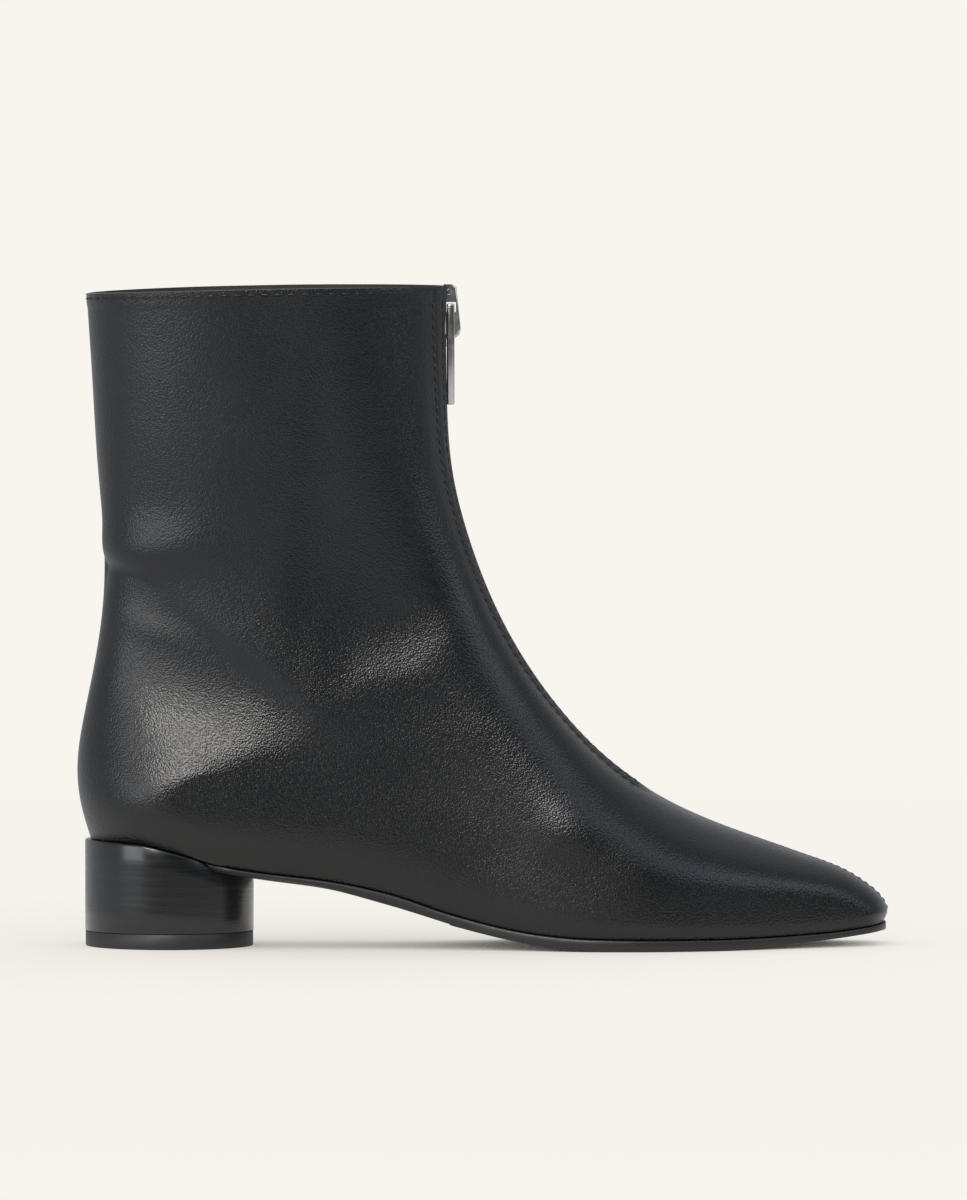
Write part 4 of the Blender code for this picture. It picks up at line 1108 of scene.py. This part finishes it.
# The insole: a leather sock glued over the board inside the boot, smooth and dull black.
# It is cut a little inside the upper's wall and follows the arch of the sole.
INSOLE_THICK = 2.0
INSOLE_INSET = 2.9
sock_leather, tree, shader, where = new_material("smooth_sock_leather")
creased = add_node(tree, "ShaderNodeTexVoronoi", {"Vector": where, "Scale": 1.0 / (1.2 * MM)})
worn = speckle(tree, where, 22.0)
colour_by(tree, shader, worn, "#1f1b19", "#2a2624")
gloss_by(tree, shader, worn, 0.45, 0.65)
emboss(tree, shader, creased.outputs["Distance"], 0.3, 0.08)


def sock_rim(at):
    """Section of the insole's edge from its top to its underside."""
    low = bottom("feather", at)
    none = np.zeros(len(at))
    top = low + INSOLE_THICK
    return [(none + 1.2, top), (none + 0.3, top - 0.1), (none, top - 0.5),
            (none, low + 0.3), (none + 0.3, low), (none + 1.2, low)]


sock_lines = [outline(INSOLE_INSET, side) for side in (LATERAL, MEDIAL)]
sock_back = float(sock_lines[0][0][0]) + 0.5
sock_front = float(sock_lines[0][0][-1]) - 0.3
sock_stations = sock_back + (sock_front - sock_back) * close_at_ends(120)
sock_edges = [np.interp(sock_stations, *line) for line in sock_lines]
new_piece("insole_sock", wrap_plate(sock_stations, sock_rim, sock_edges), sock_leather,
          "boot", "insole_leather", "insole")

# The floor: a round sheet of cream paper that glows evenly, with no lamp on it, and fades into the plain
# background.
# A painted shadow, from ambient occlusion, darkens its glow where the boot stands near, and only its near
# part shines on the boot.
FLOOR_RADIUS = 1.6
FLOOR_FADES_FROM = 0.7
FLOOR_FADES_BY = 1.15
GLOW_FADES_FROM = 0.12
GLOW_FADES_BY = 0.36
PAPER = "#f6f3ec"
PAINTED_SHADOW_REACH = 0.25
PAINTED_SHADOW_SOFT = 0.38
floor_shape = bmesh.new()
bmesh.ops.create_circle(floor_shape, cap_ends=True, segments=96, radius=FLOOR_RADIUS)
floor_mesh = bpy.data.meshes.new("paper_floor")
floor_shape.to_mesh(floor_mesh)
floor_shape.free()
floor = bpy.data.objects.new("paper_floor", floor_mesh)
bpy.context.scene.collection.objects.link(floor)
paper, tree, shader, where = new_material("cream_paper")
shader.inputs["Base Color"].default_value = (0.0, 0.0, 0.0, 1.0)
shader.inputs["Specular IOR Level"].default_value = 0.0
shader.inputs["Emission Color"].default_value = linear(PAPER)
# Painted shadow: the paper's glow is darkened by ambient occlusion near the boot, not by any lamp.
painted_shadow_ao = add_node(tree, "ShaderNodeAmbientOcclusion", {"Distance": PAINTED_SHADOW_REACH}, samples=16)
shade = add_node(tree, "ShaderNodeMath", {0: painted_shadow_ao.outputs["AO"], 1: PAINTED_SHADOW_SOFT}, operation="POWER")
tree.links.new(shade.outputs[0], shader.inputs["Emission Strength"])
away = add_node(tree, "ShaderNodeVectorMath", {0: where}, operation="LENGTH")
fading = add_node(tree, "ShaderNodeMapRange", {
    "Value": away.outputs["Value"], "From Min": FLOOR_FADES_FROM, "From Max": FLOOR_FADES_BY},
    interpolation_type="SMOOTHSTEP")
seen = add_node(tree, "ShaderNodeLightPath")
glow = add_node(tree, "ShaderNodeMapRange", {
    "Value": away.outputs["Value"], "From Min": GLOW_FADES_FROM, "From Max": GLOW_FADES_BY},
    interpolation_type="SMOOTHSTEP")
unlit = add_node(tree, "ShaderNodeMath", {0: glow.outputs["Result"], 1: seen.outputs["Is Camera Ray"]},
                 operation="SUBTRACT")
gone = add_node(tree, "ShaderNodeMath", {0: fading.outputs["Result"], 1: unlit.outputs[0]},
                operation="MAXIMUM")
clear = add_node(tree, "ShaderNodeBsdfTransparent")
mixed = add_node(tree, "ShaderNodeMixShader", {
    0: gone.outputs[0], 1: shader.outputs[0], 2: clear.outputs[0]})
tree.links.new(mixed.outputs[0], tree.nodes["Material Output"].inputs["Surface"])
floor_mesh.materials.append(paper)

# The light: a tall soft box over the camera's left shoulder, weaker ones low on the left, high in
# front, on the right and overhead, and a dim room, darkest ahead, with a lit floor far off.
# The room looks cream to the camera alone, so that the boot stands on a plain pale ground.
DARK_SIDE = (0.45, -0.89, 0.0)
WALL_LIGHT = 0.62
FAR_FLOOR = 0.8
world = bpy.data.worlds.new("studio")
bpy.context.scene.world = world
world.use_nodes = True
tree = world.node_tree
room = tree.nodes["Background"]
room.inputs["Color"].default_value = linear("#f6f9ff")
toward = add_node(tree, "ShaderNodeTexCoord").outputs["Generated"]
ahead = add_node(tree, "ShaderNodeVectorMath", {0: toward, 1: DARK_SIDE}, operation="DOT_PRODUCT")
walls = add_node(tree, "ShaderNodeMapRange", {
    "Value": ahead.outputs["Value"], "From Min": 0.10, "From Max": 0.85,
    "To Min": WALL_LIGHT, "To Max": 0.02}, interpolation_type="SMOOTHSTEP")
height = add_node(tree, "ShaderNodeSeparateXYZ", {0: toward}).outputs["Z"]
below = add_node(tree, "ShaderNodeMapRange", {
    "Value": height, "From Min": -0.15, "From Max": -0.06,
    "To Min": FAR_FLOOR, "To Max": 0.0}, interpolation_type="SMOOTHSTEP")
upward = add_node(tree, "ShaderNodeMapRange", {
    "Value": height, "From Min": 0.15, "From Max": 0.5,
    "To Min": 1.0, "To Max": 0.6}, interpolation_type="SMOOTHSTEP")
dimmed = add_node(tree, "ShaderNodeMath", {0: walls.outputs["Result"], 1: upward.outputs["Result"]},
                  operation="MULTIPLY")
fill = add_node(tree, "ShaderNodeMath", {0: dimmed.outputs[0], 1: below.outputs["Result"]},
                operation="MAXIMUM")
tree.links.new(fill.outputs[0], room.inputs["Strength"])
ground = add_node(tree, "ShaderNodeBackground", {"Color": linear("#f8f5ee"), "Strength": 1.0})
seen = add_node(tree, "ShaderNodeLightPath")
both = add_node(tree, "ShaderNodeMixShader", {0: seen.outputs["Is Camera Ray"], 1: room.outputs[0],
                                              2: ground.outputs[0]})
tree.links.new(both.outputs[0], tree.nodes["World Output"].inputs["Surface"])

Lamp = namedtuple("Lamp", "name place aim wide high watts colour")
LAMPS = (
    Lamp("soft_box_key", (-0.57, -1.48, 1.38), (-0.02, 0.0, 0.08), 0.62, 1.25, 36.0, "#fffcf5"),
    Lamp("soft_box_window", (0.40, -1.40, 1.60), (0.0, 0.0, 0.06), 0.9, 0.7, 3.4, "#cfe2ff"),
    Lamp("soft_box_low_left", (-1.50, -1.25, 0.50), (-0.05, 0.0, 0.08), 1.05, 0.75, 8.0, "#fbfcff"),
    Lamp("soft_box_right", (1.36, -0.85, 1.00), (0.05, 0.0, 0.04), 1.3, 0.9, 7.0, "#e6eeff"),
    Lamp("soft_box_overhead", (0.1, 0.9, 1.9), (0.0, 0.0, 0.0), 2.4, 1.4, 2.0, "#ffffff"),
)
for lamp in LAMPS:
    light = bpy.data.lights.new(lamp.name, "AREA")
    light.shape = "RECTANGLE"
    light.size = lamp.wide
    light.size_y = lamp.high
    light.energy = lamp.watts
    light.color = linear(lamp.colour)[:3]
    holder = bpy.data.objects.new(lamp.name, light)
    holder.location = lamp.place
    holder.rotation_euler = (Vector(lamp.aim) - Vector(lamp.place)).to_track_quat("-Z", "Y").to_euler()
    holder.visible_camera = False
    bpy.context.scene.collection.objects.link(holder)

# The camera: a long lens square to the boot's outer side, a little above it and looking down.
EYE = Vector((0.0003, -4.8, 0.317))
LOOK_AT = Vector((0.0003, 0.0, 0.110))
FRAME_HIGH = 1200.0 / 3140.0
SENSOR = 36.0
camera = bpy.data.cameras.new("camera")
camera.sensor_width = SENSOR
camera.lens = SENSOR * (LOOK_AT - EYE).length / FRAME_HIGH
camera.clip_end = 20.0
viewer = bpy.data.objects.new("camera", camera)
viewer.location = EYE
viewer.rotation_euler = (LOOK_AT - EYE).to_track_quat("-Z", "Y").to_euler()
bpy.context.scene.collection.objects.link(viewer)
bpy.context.scene.camera = viewer
bpy.context.scene.view_settings.view_transform = "Standard"
